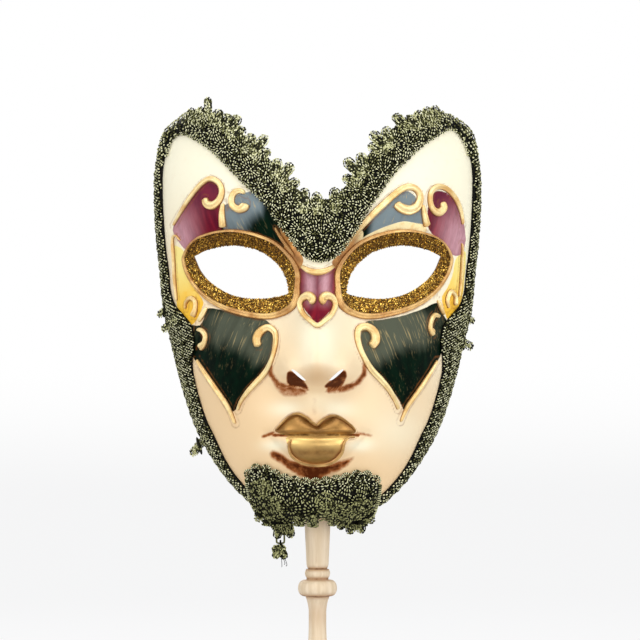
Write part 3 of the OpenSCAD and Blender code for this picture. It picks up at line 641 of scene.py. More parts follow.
def turned_wood():
    """Pale turned wood under a thin whitewash, browner in the grooves."""
    f = Finish("whitewashed_turned_wood")
    grain = f.noise(60, 5.0, (6, 6, 0.5))
    rings = f.noise(900, 2.0, (0.05, 0.05, 1))
    colour = f.mix(grain.step(0.3, 0.7), shade(222, 198, 162), shade(240, 220, 190))
    colour = f.mix(f.noise(240, 4.0, (4, 4, 0.25)).step(0.6, 0.8) * 0.4, colour, shade(196, 162, 118))
    groove = f.kept("groove") * (0.5 + grain * 0.7)
    colour = f.mix(groove, colour, shade(178, 132, 84))
    colour = f.mix(groove.step(0.6, 1.0) * 0.8, colour, shade(112, 70, 36))
    return f.set({
        "Base Color": colour, "Roughness": 0.5 + grain * 0.15,
        "Normal": f.bump(rings, 0.00005, 0.4, f.bump(grain, 0.0001, 0.4)),
    })


def block_wood():
    """Raw wood with its grain upright."""
    f = Finish("raw_block_wood")
    grain = f.noise(90, 5.0, (1, 1, 0.08))
    colour = f.mix(grain.step(0.35, 0.65), shade(206, 172, 124), shade(228, 200, 156))
    colour = f.mix(f.noise(420, 3.0, (1, 1, 0.05)).step(0.6, 0.75) * 0.5, colour, shade(168, 126, 80))
    return f.set({
        "Base Color": colour, "Roughness": 0.62 + grain * 0.15, "Normal": f.bump(grain, 0.0002, 0.5),
    })


# Painted fields of the face, as outlines under the piping that frames them
WINE_FIELDS = [
    [(-76, 47), (-72.5, 53.5), (-69.5, 58.5), (-66.5, 63.5), (-63.5, 67.5), (-60.5, 70.5), (-57, 72.3),
     (-53.5, 71.8), (-51, 69), (-50, 65.5), (-50.3, 61), (-50, 56), (-49.8, 44.5), (-57, 43), (-63, 41),
     (-67, 38.6), (-69.8, 37.4)],
    [(57.5, 48.5), (57.2, 55), (57.8, 60), (58.8, 64), (60.8, 66.5), (63.5, 67.3), (67.3, 66.5), (71.3, 63),
     (74.3, 57.8), (76.5, 52.5), (77.5, 46.3), (77.8, 41), (75.5, 34.5), (70.6, 34), (68, 37.8),
     (64.8, 41.2), (60.2, 44.4)],
    [(-9.5, 27), (-4.5, 25.3), (0, 24.6), (5, 25.3), (10, 27), (9.7, 20), (9.6, 13), (9.3, 8.5), (6.5, 4.5),
     (3, 1), (-0.2, -1.5), (-3.5, 1.5), (-7, 6), (-9.3, 9.5), (-9.7, 14), (-9.7, 20)],
]
GREEN_FIELDS = [
    [(-49.5, 44.5), (-49.3, 57.5), (-46.5, 60.5), (-44, 63), (-41.5, 65), (-37.5, 66), (-32, 66.5),
     (-26, 60.5), (-20, 53), (-15.5, 45.5), (-12.4, 37), (-16, 36.4), (-22.6, 39.6), (-28.6, 42.4),
     (-34.6, 44), (-41.7, 44.6)],
    [(20.3, 40.4), (23, 46.4), (26.5, 51.1), (29.5, 55.3), (32.5, 59.5), (36.1, 63.1), (40.3, 65.8),
     (44.5, 67), (48, 66.4), (50.7, 64.3), (52, 61.5), (54.9, 58.3), (55.2, 49.3), (49.8, 50.5), (44.5, 51.1),
     (37.9, 49.3), (31.9, 47), (25.9, 44)],
    [(-57.5, 6), (-51.3, 5.5), (-45.3, 4), (-38.2, 2), (-31, 0.8), (-25.9, -0.5), (-24, -4), (-22.8, -9.3),
     (-22.6, -14.7), (-24.2, -20.6), (-27.5, -26.5), (-32.5, -32), (-36.5, -37), (-40.5, -43), (-43.8, -47.5),
     (-49.5, -41.5), (-54.5, -35), (-59.2, -28.3), (-63, -22.5), (-66.5, -17.5), (-69, -10), (-67, -3),
     (-61.5, -2.8), (-59, 1.5)],
    [(25.9, -0.5), (31.9, 0), (37.9, 1), (43.9, 2.2), (49.8, 4), (55.8, 6.2), (62.4, 9), (64, 5),
     (67.5, 0), (68.5, -7), (66, -14), (63.7, -20), (60, -25.5), (55.8, -31.5), (51.6, -38),
     (47.6, -44.5), (45.2, -47.2), (42.3, -41.8), (39.3, -37.2), (35.7, -32.5), (30.9, -27),
     (26.5, -21.5), (23.6, -16.2), (22.3, -10.5), (23.2, -4)],
]
OCHRE_FIELDS = [
    [(-75.8, 39), (-70.3, 36.5), (-69, 32.6), (-67.8, 26.7), (-65.7, 20.7), (-62.7, 14.7), (-59.5, 9.4),
     (-61, 4.6), (-64.2, -1.5), (-68, -2), (-73.5, 5.8), (-74.8, 18.3), (-75.7, 29.1)],
    [(75.5, 35), (72.2, 31.5), (71.2, 25.5), (69.7, 20.7), (67.5, 15.9), (65, 12), (66, 6.5), (68.5, 0),
     (74, 5.8), (76.4, 13.5), (77.4, 24.3), (78, 35.5)],
]
GILT_FIELDS = [
    [(-22, -57.5), (-18.5, -53), (-14.5, -49.5), (-10, -48), (-5, -50.5), (-1, -54), (3, -51), (8, -49),
     (13, -51), (17.5, -54.5), (20, -57.8), (14, -60), (0, -60.5), (-14, -60)],
    [(-14, -59.5), (-15, -65), (-13.2, -70), (-8, -73.5), (-0.5, -75), (7, -73.5), (12.2, -69), (14, -63.5),
     (15.5, -59.5)],
    [(18, 36), (21.8, 41), (25.9, 44), (31.9, 47), (37.9, 49.3), (44.5, 51.1), (49.8, 50.5), (56, 49.2),
     (56, 45), (48, 45), (38, 44), (30, 41.5), (23, 37), (19, 33)],
    [(-19.5, 47.6), (-17, 46.4), (-13.4, 41.6), (-10.4, 37.6), (-8.2, 33.8), (-7.2, 30.4), (-8.6, 26.8),
     (-10.4, 26.8), (-13.2, 32.2), (-16.8, 36.2), (-17.5, 39.5)],
    [(23.4, 46.2), (17.6, 43.2), (13.6, 38), (10.6, 33.6), (7.4, 30.2), (8.8, 26.8), (10.8, 27), (14.2, 32.6),
     (18.8, 37.6), (22.8, 40.8)],
]
# Where the brown wash settled: lines of [x, z], each with its reach and its strength
WASH_LINES = [
    ([(-25, -20), (-24.2, -28), (-20.5, -33), (-14, -35.2), (-7, -36.8)], 1.6, 0.66),
    ([(25, -20), (24.2, -28), (20.5, -32.5), (14, -35), (6, -36.4)], 1.6, 0.7),
    ([(-28, -60.3), (-23, -58.5)], 1.0, 0.75),
    ([(28, -60), (21, -58.5)], 1.0, 0.5),
    ([(-23, -59.5), (-8, -59.2), (8, -59.2), (21, -59.5)], 0.9, 0.9),
    ([(-1.5, -41), (-1.5, -48)], 2.2, 0.22),
    ([(-22.6, -69.6), (-19, -71.4), (-15, -74.4)], 2.1, 0.86),
    ([(-15, -75.4), (-10, -78.8), (-4, -81.4), (1, -81.4)], 1.7, 0.8),
    ([(-14, -73.6), (-6, -76), (4, -76), (12, -73.8)], 1.4, 0.66),
]
# Pools of wash in the nostrils, under the nose and under the lower lip, each with its strength and its edge
WASH_POOLS = [
    ([(-16, -28.5), (-13.6, -26), (-7.6, -30.6), (-4.4, -36.2), (-8, -34.8), (-14.6, -33.8)], 1.1, 1.2),
    ([(3.5, -34.8), (6.8, -30.8), (13.3, -25.7), (15.2, -29), (11.9, -34.5)], 1.05, 1.2),
    ([(-24, -29), (-20.6, -32.7), (-14.6, -34.5), (-4.8, -37.3), (-7.6, -39.6), (-12.3, -40), (-18.3, -39.4),
      (-22.9, -34)], 0.5, 2.2),
    ([(3.1, -36.9), (10, -38.2), (18.9, -36.2), (24, -32), (23.8, -28.6), (20.2, -31.3), (15.6, -33.6),
      (11, -35)], 0.62, 1.8),
    ([(-23.5, -68.2), (-17.4, -71), (-10.4, -73.5), (-0.2, -74.7), (7.2, -74), (19, -70.6), (14.7, -76.3),
      (7.2, -80), (-0.2, -81.8), (-6.7, -81.8), (-14.6, -76.8), (-23.4, -71.7)], 0.92, 3.2),
]
FIELDS = {"ochre": OCHRE_FIELDS, "wine": WINE_FIELDS, "green": GREEN_FIELDS, "gilt": GILT_FIELDS}

# Tapers of the piping: shares of its width along it
CURL = [[0, 0.5], [0.25, 0.9], [0.7, 1], [0.92, 1.4], [1, 1.2]]
LINE = [[0, 0.5], [0.3, 0.9], [0.7, 0.9], [1, 0.5]]
BAR = [[0, 0.7], [0.5, 1.2], [1, 1.4]]
HEART = [[0, 1.2], [0.07, 1.6], [0.2, 1.15], [0.5, 0.85], [0.8, 1.15], [0.93, 1.6], [1, 1.2]]
# Gilded piping: node, points, taper and share of the piping's width
PIPING = [
    ("left_temple_scroll", [(-75.5, 49.5), (-70, 58.5), (-64, 67), (-59, 72), (-55, 73.5), (-51, 71),
      (-49.5, 66.5), (-51, 62), (-54.5, 59.5), (-57.5, 60.5), (-58.5, 63.5)], CURL, 1.35),
    ("right_temple_scroll", [(76, 50), (74.5, 57.5), (71.5, 64), (67, 68.5), (62.5, 69.5), (59, 66.5),
      (58.5, 61.5), (60, 57.5), (63, 56), (65.5, 58.5), (64.5, 61.5)], CURL, 1.35),
    ("left_brow_scroll", [(-37.5, 65.5), (-40, 67), (-43, 66), (-44.5, 63), (-44, 59.5), (-41, 57.5),
      (-38, 58.5), (-37, 60.5)], CURL, 1.6),
    ("right_brow_scroll", [(12.7, 35.5), (16.6, 41.4), (21.4, 47.2), (27.3, 53.4), (33.7, 59.5),
      (39.8, 65), (45.6, 68.8), (50.4, 68.4), (53.2, 64.5), (51.8, 59.3), (47.6, 57), (43, 58.2),
      (40.4, 60.6)], CURL, 1.6),
    ("left_brow_line", [(-22, 48), (-18.5, 42.5), (-14.5, 37), (-11.5, 33)], LINE, 0.7),
    ("left_divider_bar", [(-48.8, 60.5), (-49.4, 55), (-49, 48)], BAR, 1.25),
    ("right_divider_bar", [(54.4, 60), (55.6, 54), (57, 48.6)], BAR, 1.25),
    ("left_temple_line", [(-71.5, 41.5), (-73.5, 44), (-75, 44), (-75.5, 41), (-75, 33), (-74.5, 22),
      (-73.5, 10)], LINE, 0.7),
    ("right_temple_line", [(75.4, 40.5), (75.6, 37), (75.5, 32), (75, 22), (74, 12)], LINE, 0.9),
    ("left_temple_leaf", [(-69, 5.5), (-68.5, 9.5), (-66, 11.5), (-63.5, 9.5), (-63.5, 5.5), (-65, 1.5)],
      CURL, 1.05),
    ("right_temple_leaf", [(68.5, 6), (67.5, 10.5), (69.5, 15), (72, 12.5), (72, 7.5)], CURL, 1.05),
    ("left_temple_stem", [(-57.5, 6.5), (-59.5, 3), (-62, -1)], LINE, 1.25),
    ("right_temple_stem", [(62.5, 10.5), (64, 7), (66, 2.5)], LINE, 1.2),
    ("left_cheek_curl", [(-63, -5), (-60, -5.5), (-58, -8.5), (-59, -12.5), (-61.5, -14.5)], CURL, 1.3),
    ("right_cheek_curl", [(64, 1.5), (61, 2.5), (59, -0.5), (58.5, -4.5), (60.5, -7.5)], CURL, 1.3),
    ("left_cheek_line", [(-63, -20.5), (-58, -28), (-51, -38), (-46, -45.5), (-42.5, -54)], LINE, 1.35),
    ("right_cheek_line", [(62.5, -21), (58, -28.5), (51.5, -38), (46.5, -45), (43, -53)], LINE, 1.35),
    ("left_cheek_scroll", [(-41.5, -47), (-39.5, -42), (-36, -37), (-32, -32.5), (-26.5, -26.5),
      (-23, -19.5), (-21.5, -12), (-22, -6.5), (-25.5, -4), (-29.5, -6), (-31.5, -10), (-30.5, -14)],
      CURL, 1.35),
    ("right_cheek_scroll", [(42, -46.5), (40, -41.5), (37, -36), (33, -31), (27, -24.5), (22.5, -17),
      (20.5, -10), (21, -5), (25, -3.5), (29, -6), (30, -10.5), (27.5, -14)], CURL, 1.5),
    ("nose_bar", [(-8.5, 28), (-4.5, 25.5), (0, 24.5), (4.5, 25.5), (8.5, 28)], LINE, 1.5),
    ("nose_heart", [(-4, 8.5), (-2.5, 10.5), (-4.5, 12.5), (-7.5, 11), (-8.7, 7.5), (-7, 3), (-3.5, -0.5),
      (0, -3), (3.5, -0.5), (7, 3), (8.7, 7.5), (7.5, 11), (4.5, 12.5), (2.5, 10.5), (4, 8.5)],
      HEART, 1.25),
    ("upper_lip_rim", [(-21.5, -57), (-18.5, -53.5), (-14.5, -50), (-10, -48.5), (-5, -51), (-1, -54.5),
      (3, -51.5), (8, -49.5), (13, -51.5), (17.5, -55), (19.5, -57.5)], LINE, 0.7),
    ("lower_lip_rim", [(-13.5, -61.5), (-14.5, -65), (-13, -69.5), (-8, -73), (-0.5, -74.5), (7, -73),
      (12, -68.5), (13.5, -63.5), (15.5, -61), (19.5, -60.5)], LINE, 0.7),
]


def distance_to(line, x, z):
    """Distance of points from a run of [x, z] points."""
    least = np.full(len(x), 1e9)
    p = np.stack([x, z], -1)
    for a, b in zip(line[:-1], line[1:]):
        ab = b - a
        t = np.clip(((p - a) @ ab) / max(ab @ ab, 1e-9), 0, 1)
        least = np.minimum(least, np.linalg.norm(p - a - t[:, None] * ab, axis=1))
    return least


def depth_in(fields, x, z, cuts=3):
    """Distance inside the nearest of several closed outlines, less than 0 outside."""
    deepest = np.full(len(x), -99.0)
    for field in fields:
        line = route(field, cuts, closed=True)
        line = np.vstack([line, line[:1]])
        inside = np.zeros(len(x), bool)
        for (ax, az), (bx, bz) in zip(line[:-1], line[1:]):
            if az != bz:
                inside ^= ((az > z) != (bz > z)) & (x < (bx - ax) * (z - az) / (bz - az) + ax)
        away = distance_to(line, x, z)
        deepest = np.maximum(deepest, np.where(inside, away, -away))
    return deepest


def eye_ring(side, share, out, turn):
    """Points around an eye hole, pushed out by a share of the glitter band and by a distance."""
    x = EYE_IN + (EYE_OUT - EYE_IN) * (1 - np.cos(2 * np.pi * turn)) / 2
    along = (x - EYE_IN) / (EYE_OUT - EYE_IN)
    z = EYE_Z + np.where(turn <= 0.5, curve(UPPER_LID, along), curve(LOWER_LID, along))
    run = route(EYE_BAND, 20, closed=True)
    n = len(run)
    where = turn * n
    i = np.floor(where).astype(int)
    f = (where - i)[:, None]
    v = run[i % n] * (1 - f) + run[(i + 1) % n] * f
    p = np.stack([x, z], -1) + v * np.asarray(share)[..., None] + unit(v) * np.asarray(out)[..., None]
    return side * p[:, 0], p[:, 1]


def make_shell(finish):
    """Three storeys of one grid, parted by the nostril slits and the eye holes, and thickened to a wall."""
    inner_cols, lid_cols, outer_cols = 20, 58, 24
    nose_rows, brow_rows = 30, 40
    slit_in, slit_out, slit_z, slit_rise = 6.3, 13.2, -31.5, 6.5
    eye_half, slit_half = half_width(np.array(EYE_Z)), half_width(np.array(-28.0))
    eye_in, eye_out = EYE_IN / eye_half, EYE_OUT / eye_half
    shares = np.concatenate([
        np.linspace(0, eye_in, inner_cols + 1)[:-1],
        eye_in + (eye_out - eye_in) * (1 - np.cos(np.pi * np.linspace(0, 1, lid_cols + 1)))[:-1] / 2,
        np.linspace(eye_out, 1, outer_cols + 1),
    ])
    cols = np.concatenate([-shares[:0:-1], shares])
    # Rows lie closer over the lips
    low_rows = np.concatenate([
        np.linspace(0, 0.36, 22)[:-1], np.linspace(0.36, 0.78, 54)[:-1], np.linspace(0.78, 1, 18)
    ])

    def column(s):
        u = cols[np.round(s * (len(cols) - 1)).astype(int)]
        a = np.abs(u)
        slit_x = a * slit_half
        mid = slit_z + slit_rise * rise(slit_in - 2, slit_out + 2, slit_x)
        gap = np.sqrt(np.maximum(1 - ((2 * slit_x - slit_in - slit_out) / (slit_out - slit_in)) ** 2, 0))
        along = np.clip((a * eye_half - EYE_IN) / (EYE_OUT - EYE_IN), 0, 1)
        return u, mid - gap, mid + gap, EYE_Z + curve(LOWER_LID, along), EYE_Z + curve(UPPER_LID, along)

    def storey(k):
        def place(s, t):
            u, slit_low, slit_high, lid_low, lid_high = column(s)
            if k == 0:
                t = low_rows[np.round(t * (len(low_rows) - 1)).astype(int)]
            low, high = ((CHIN_EDGE_Z, slit_low), (slit_high, lid_low), (lid_high, top_edge(u)))[k]
            z = low + (high - low) * t
            return front(u * half_width(z), z)
        return place

    bm = bmesh.new()
    for k, rows in enumerate((len(low_rows) - 1, nose_rows, brow_rows)):
        sheet(bm, len(cols) - 1, rows, storey(k))
    bmesh.ops.remove_doubles(bm, verts=bm.verts, dist=0.001)
    inner = bm.verts.layers.float.new("inner")
    grown = bmesh.ops.extrude_face_region(bm, geom=bm.faces[:], use_keep_orig=True)["geom"]
    backs = [g for g in grown if isinstance(g, bmesh.types.BMVert)]
    at = np.array([v.co for v in backs])
    for v, t in zip(backs, wall_depth(at[:, 0], at[:, 2] - FACE_Z)):
        v.co.y += t
        v[inner] = 1.0
    bmesh.ops.recalc_face_normals(bm, faces=bm.faces)
    note_paint(piece_of("painted_shell", bm, finish, ["mask_shell"], crease=60))


def note_paint(shell):
    """Keeps on the shell where its fields, wash, painted highlights, veils with painted reflection and the
    brown line beside its relief lie.
    """
    at = np.empty(len(shell.data.vertices) * 3, np.float32)
    shell.data.vertices.foreach_get("co", at)
    at = at.reshape(-1, 3) / MM
    x, z = at[:, 0].astype(float), at[:, 2].astype(float) - FACE_Z
    a = np.abs(x)
    for name, fields in FIELDS.items():
        note(shell, name, depth_in(fields, x, z))
    wash = np.zeros_like(x)
    for line, spread, strength in WASH_LINES:
        away = distance_to(np.array(line, float), x, z)
        wash = np.maximum(wash, strength * np.exp(-(away / spread) ** 2))
    for pool, strength, edge in WASH_POOLS:
        deep = np.clip(depth_in([pool], x, z) / edge + 0.35, 0, 1)
        wash = np.maximum(wash, strength * deep * (1 - 0.014 * np.maximum(x, 0)))
    note(shell, "wash", wash)
    # Painted highlight: ivory paler where the face swells up to the light: over the lip, under the mouth's
    # corners, down the nose and low on the right cheek
    rubbed = (
        swell(x, z, -16, -46, 9, 4.5) + swell(x, z, 11, -46, 9, 5) + swell(a, z, 22, -65, 7, 3.2)
        + swell(a, z, 5, -10, 5, 14) + 0.5 * swell(x, z, 0, -42, 7, 5) + 0.7 * swell(x, z, 42, -58, 17, 13)
    )
    note(shell, "rubbed", np.minimum(rubbed, 1))
    # Painted reflection, partly a paler veil of paint: the varnished fields greyer or pinker where they turn
    # up to the light
    left_brow = rise(24, 40, a + 0.7 * (z - 52)) * (0.62 + 0.38 * rise(46, 62, z))
    veil = np.where(x < 0, left_brow, rise(22, 33, a)) * rise(30, 40, z)
    low = 10 * rise(46, 28, a)
    cheek = rise(-24, -6, z + low) * rise(12, 0, z) * (1 - 0.6 * rise(50, 64, a))
    veil = np.maximum(veil, cheek * np.where(x < 0, 0.78, 1.0))
    pink_sheen_and_strokes = rise(56, 74, a) * rise(68, 42, z) * rise(30, 36, z)
    # Two pale strokes down the shield between the eyes, partly brush strokes and partly painted reflection
    pink_sheen_and_strokes = pink_sheen_and_strokes + np.exp(-(((a - 3.8) / 3.0) ** 2)) * rise(4, 14, z) * rise(30, 25, z)
    note(shell, "veil", np.where(depth_in(WINE_FIELDS, x, z) > -0.6, pink_sheen_and_strokes, veil))
    beside = np.zeros_like(x)
    for _, points, _, share in PIPING:
        away = distance_to(route(points, 3), x, z) - PIPE_W * share * 0.62
        beside = np.maximum(beside, np.exp(-(away / 0.75) ** 2))
    turn = np.linspace(0, 1, 97)
    for side in SIDES:
        foot = np.stack(eye_ring(side, np.ones_like(turn), RIM_W * curve(RIM_SHARE, turn), turn), -1)
        away = distance_to(foot, x, z) - 0.2
        beside = np.maximum(beside, np.exp(-(away / 0.8) ** 2))
    note(shell, "beside", beside)


# Faces round a section of piping, the length of one step along it, and the length of its blunt tips
ROUND = 26
PIPE_STEP = 0.55
PIPE_TIP = 1.1
# Share of the eye rim's width, from the corner at the nose over the eye, round and back under it
RIM_SHARE = [
    [0, 1.05], [0.1, 0.8], [0.25, 0.5], [0.4, 0.5], [0.5, 0.65], [0.62, 0.85], [0.75, 1.1], [0.9, 1.25],
    [1, 1.05],
]


def piping_section(t):
    """Section of a moulding with a main bead and a lower one beside it: places across, heights and feet."""
    a = 2 * np.pi * t
    across = 0.5 * np.cos(a)
    main = np.sqrt(np.maximum(1 - ((across + 0.13) / 0.37) ** 2, 0))
    lower = 0.62 * np.sqrt(np.maximum(1 - ((across - 0.33) / 0.17) ** 2, 0))
    up = np.where(np.sin(a) >= 0, np.maximum(np.maximum(main, lower), 0.0), 0)
    down = np.where(np.sin(a) < 0, -0.35 * np.abs(np.sin(a)), 0)
    return across, up + down, 1 - np.clip(up, 0, 1)


def make_moulding(node, steps, place, finish):
    """A gilded moulding whose grid goes where place says, with its feet noted for its finish."""
    bm = bmesh.new()
    layer = bm.verts.layers.float.new("foot")
    feet = piping_section(np.arange(ROUND + 1) / ROUND)[2]
    for k, v in enumerate(sheet(bm, steps, ROUND, place)):
        v[layer] = feet[k // (steps + 1)]
    close_up(bm)
    piece_of(node + "_gilding", bm, finish, [node])


def make_piping(finish, node, points, taper, share):
    """Piping laid on the face along a run of points."""
    run = route(points, 10)
    total = lengths(run)[-1]
    steps = int(total / PIPE_STEP)
    places = np.linspace(0, total, steps + 1)
    x, z = points_at(run, places).T
    at, out = front(x, z), facing(x, z)
    ahead = unit(np.gradient(at, axis=0))
    side = unit(np.cross(out, ahead))
    out = np.cross(ahead, side)
    tip = np.minimum(np.minimum(places, total - places) / PIPE_TIP, 1)
    end = np.maximum(np.sqrt(np.maximum(1 - (1 - tip) ** 2, 0.0)), 0.02)
    wide = PIPE_W * share * curve(taper, places / total) * end
    high = (PIPE_H + SEAT) * np.sqrt(curve(taper, places / total)) * end

    def place(s, t):
        i = np.round(s * steps).astype(int)
        across, up, _ = piping_section(t)
        return at[i] + side[i] * (across * wide[i])[:, None] + out[i] * (up * high[i])[:, None]

    make_moulding(node, steps, place, finish)


def make_eye(side, gold, glue, flakes, rng):
    """The gilded rim, the glitter's ground and the flakes round one eye."""
    name = SIDES[side]
    turns = 168

    def rim(s, t):
        across, up, _ = piping_section(t)
        share = curve(RIM_SHARE, s)
        x, z = eye_ring(side, np.ones_like(s), RIM_W * share * (0.5 + across), s)
        return front(x, z) + facing(x, z) * (up * np.sqrt(share) * (PIPE_H + SEAT))[:, None]

    make_moulding(name + "_eye_rim", turns, rim, gold)

    # The glitter's ground lies on the socket and turns in through the hole
    def ground(s, t):
        share = np.interp(t, [0, 0.5, 0.62, 0.75, 1], [1.0, 0.0, -0.02, 0.1, 1.0])
        x, z = eye_ring(side, share, 0 * s, s)
        lift = np.interp(t, [0, 0.06, 0.44, 0.5, 0.62, 0.9, 1], [0.0, 0.5, 0.5, 0.3, -0.3, -0.6, 0.0])
        back = np.interp(t, [0, 0.5, 0.62, 0.9, 1], [0, 0, 1.2, 1.6, 0])
        return front(x, z) + facing(x, z) * lift[:, None] + np.stack([0 * s, back, 0 * s], -1)

    bm = bmesh.new()
    sheet(bm, turns, 16, ground)
    close_up(bm)
    piece_of(name + "_glitter_ground", bm, glue, [name + "_eye_glitter"])
    strew_flakes(side, flakes, rng)


def strew_flakes(side, finish, rng):
    """Flakes of glitter over the band round one eye, each leaning its own way."""
    flake = small_shape(bmesh.ops.create_circle, cap_ends=True, segments=6, radius=0.5)
    pitch, rows = 0.52, 18
    ring = np.linspace(0, 1, 721)
    middle = np.stack(eye_ring(side, np.full_like(ring, 0.5), np.zeros_like(ring), ring), -1)
    gone = lengths(middle)
    turn, share = [], []
    for g in np.arange(0, gone[-1], pitch):
        for k in range(rows):
            turn.append(np.interp(g + rng.uniform(-0.4, 0.4), gone, ring) % 1)
            share.append((k + rng.uniform(-0.1, 1.1)) / rows)
    x, z = eye_ring(side, np.clip(np.array(share), 0, 0.99), np.zeros(len(share)), np.array(turn))
    count = len(x)

    def ways():
        return np.array([[rng.uniform(-1, 1) for _ in range(3)] for _ in range(count)])

    out = facing(x, z)
    lean = unit(out + 0.42 * ways())
    lift = np.array([rng.uniform(0.5, 0.85) for _ in range(count)])
    at = front(x, z) + out * lift[:, None]
    size = [(s, s, 1) for s in (rng.uniform(0.45, 0.82) for _ in range(count))]
    bm = bmesh.new()
    sow(bm, flake, at, ways(), lean, size)
    made = piece_of(SIDES[side] + "_glitter_flakes", bm, finish)
    # Painted shade: flakes darker over the eye, and more so over the left one
    painted_shade = (0.24 if side < 0 else 0.15) * rise(EYE_Z, EYE_Z + 12, z)
    tone = np.array([rng.betavariate(1.2, 1.2) for _ in range(count)]) * (1 - painted_shade)
    note(made, "tone", np.repeat(tone, len(flake.vertices)))


# Lace: black cord worked over with rows of pale stitches, laid in fans and in looped fingers


class Lace:
    """Stitches gathered for one piece of lace, over a dark ground."""

    def __init__(self, rng, place=off_edge, sage=1.0):
        self.rng, self.place, self.sage = rng, place, sage
        self.bm, self.pads = bmesh.new(), bmesh.new()
        self.pad = small_shape(bmesh.ops.create_icosphere, subdivisions=2, radius=1.0)
        self.kept = []

    def spread(self, count, low, high):
        """Random numbers between two values."""
        return np.array([self.rng.uniform(low, high) for _ in range(count)])

    def stitches(self, x, z, lift, across, size, tone, place=None):
        """Stitches at [x, z], each along its own flat direction, with half sizes along, beside and up."""
        at, out = (place or self.place)(x, z, lift)
        flat = np.stack([across[:, 0], 0 * x, across[:, 1]], -1)
        self.kept.append((at, flat, out, size, tone))

    def cord(self, run, width, lift, olive, pitch=0.5):
        """A cord along a run of [x, z] points, wrapped in stitches that lie across it."""
        total = lengths(run)[-1]
        count = max(int(total / pitch), 3)
        p = points_at(run, np.linspace(0, total, count))
        way = unit(np.gradient(p, axis=0))
        across = np.stack([-way[:, 1], way[:, 0]], -1) + self.spread(2 * count, -0.14, 0.14).reshape(-1, 2)
        pale = np.arange(count) % 2 == 0
        half = np.stack([
            width * np.where(pale, 0.56, 0.52) * self.spread(count, 0.88, 1.08),
            0.34 * self.spread(count, 0.85, 1.15),
            width * np.where(pale, 0.46, 0.38) * self.spread(count, 0.9, 1.1),
        ], -1)
        lift = lift + self.spread(count, -0.12, 0.12)
        self.stitches(*p.T, lift, across, half, self.tones(pale, olive))

    def knots(self, run, width, lift, olive, place):
        """A fat cord of three rows of small mottled knots along a run of [x, z] points."""
        total = lengths(run)[-1]
        steps = max(int(total / KNOT_PITCH), 3)
        count = 3 * steps
        beside = np.tile([-0.32, 0.0, 0.32], steps)
        places = np.repeat(np.linspace(0, total, steps), 3) + np.tile([0, KNOT_PITCH / 2, 0], steps)
        places = np.clip(places + self.spread(count, -0.1, 0.1), 0, total)
        p, ahead, behind = (points_at(run, places + far) for far in (0, 0.3, -0.3))
        way = unit(ahead - behind)
        across = np.stack([-way[:, 1], way[:, 0]], -1)
        spots = p + across * ((beside + self.spread(count, -0.05, 0.05)) * width)[:, None]
        turn = (np.where(beside == 0, 0.7, 0.12) + self.spread(count, -0.25, 0.25))[:, None]
        half = np.stack([
            self.spread(count, 0.56, 0.7) * np.where(beside == 0, 1.0, 1.3),
            self.spread(count, 0.4, 0.5), self.spread(count, 0.4, 0.5),
        ], -1)
        crown = 0.36 * width * (1 - (2 * beside) ** 2)
        tone = self.tones(self.spread(count, 0, 1) < 0.64, olive)
        lie = way * np.cos(turn) + across * np.sin(turn)
        self.stitches(*spots.T, lift + crown, lie, half, tone, place)

    def tones(self, pale, olive):
        """Tones of stitches: pale ones bright, or sage where the lace is olive, the others black or olive."""
        count = len(pale)
        worn = self.spread(count, 0, 1) < 0.28
        # Pale stitches come out near white where the lace is not olive, partly as painted glints
        light = self.spread(count, 0.82, 1.0) * (1 - olive)
        light = light + self.spread(count, 0.62, 0.92) * olive * self.sage
        light = np.where(worn, self.spread(count, 0.3, 0.62), light)
        dark = self.spread(count, 0.0, 0.1) * (1 - olive)
        dark = dark + self.spread(count, 0.08, 0.42) * olive * self.sage
        return np.where(pale, light, dark)

    def fans(self, depth, hubs, olive, thick, back=False):
        """Rows of stitches in rings about hubs, each hub filling the part of the lace that is nearest to it.
        How olive they are depends on their place. On the back they lie flat under the ground."""
        for k, hub in enumerate(hubs):
            spots, ways, pales = [], [], []
            for r in np.arange(0.65, FAN_R, FAN_ROW):
                steps = max(int(2 * math.pi * r / 0.6) // 2 * 2, 4)
                turn = np.arange(steps) / steps * 2 * math.pi + self.rng.uniform(0, 6)
                way = np.stack([np.cos(turn), np.sin(turn)], -1)
                spots.append(hub + way * r)
                ways.append(way)
                pales.append(np.arange(steps) % 2 == 0)
            spots, ways, pale = np.vstack(spots), np.vstack(ways), np.concatenate(pales)
            spots = spots + self.spread(spots.size, -0.1, 0.1).reshape(-1, 2)
            far = np.linalg.norm(spots[:, None] - hubs[None], axis=2)
            deep = depth(spots)
            keep = (np.argmin(far, axis=1) == k) & (deep > 0.0)
            spots, ways, pale, deep = spots[keep], ways[keep], pale[keep], deep[keep]
            count = len(spots)
            if not count:
                continue
            half = np.stack([
                np.where(pale, 0.78, 0.72) * self.spread(count, 0.8, 1.15),
                np.where(pale, 0.33, 0.36) * self.spread(count, 0.85, 1.15),
                np.where(pale, 0.54, 0.44) * self.spread(count, 0.85, 1.15),
            ], -1)
            ways = ways + self.spread(2 * count, -0.16, 0.16).reshape(-1, 2)
            over = -0.2 if back else thick * np.minimum(0.3 + deep / 2.4, 0.84)
            lift = over + self.spread(count, -0.14, 0.14)
            self.stitches(*spots.T, lift, ways, half, self.tones(pale, olive(spots)))

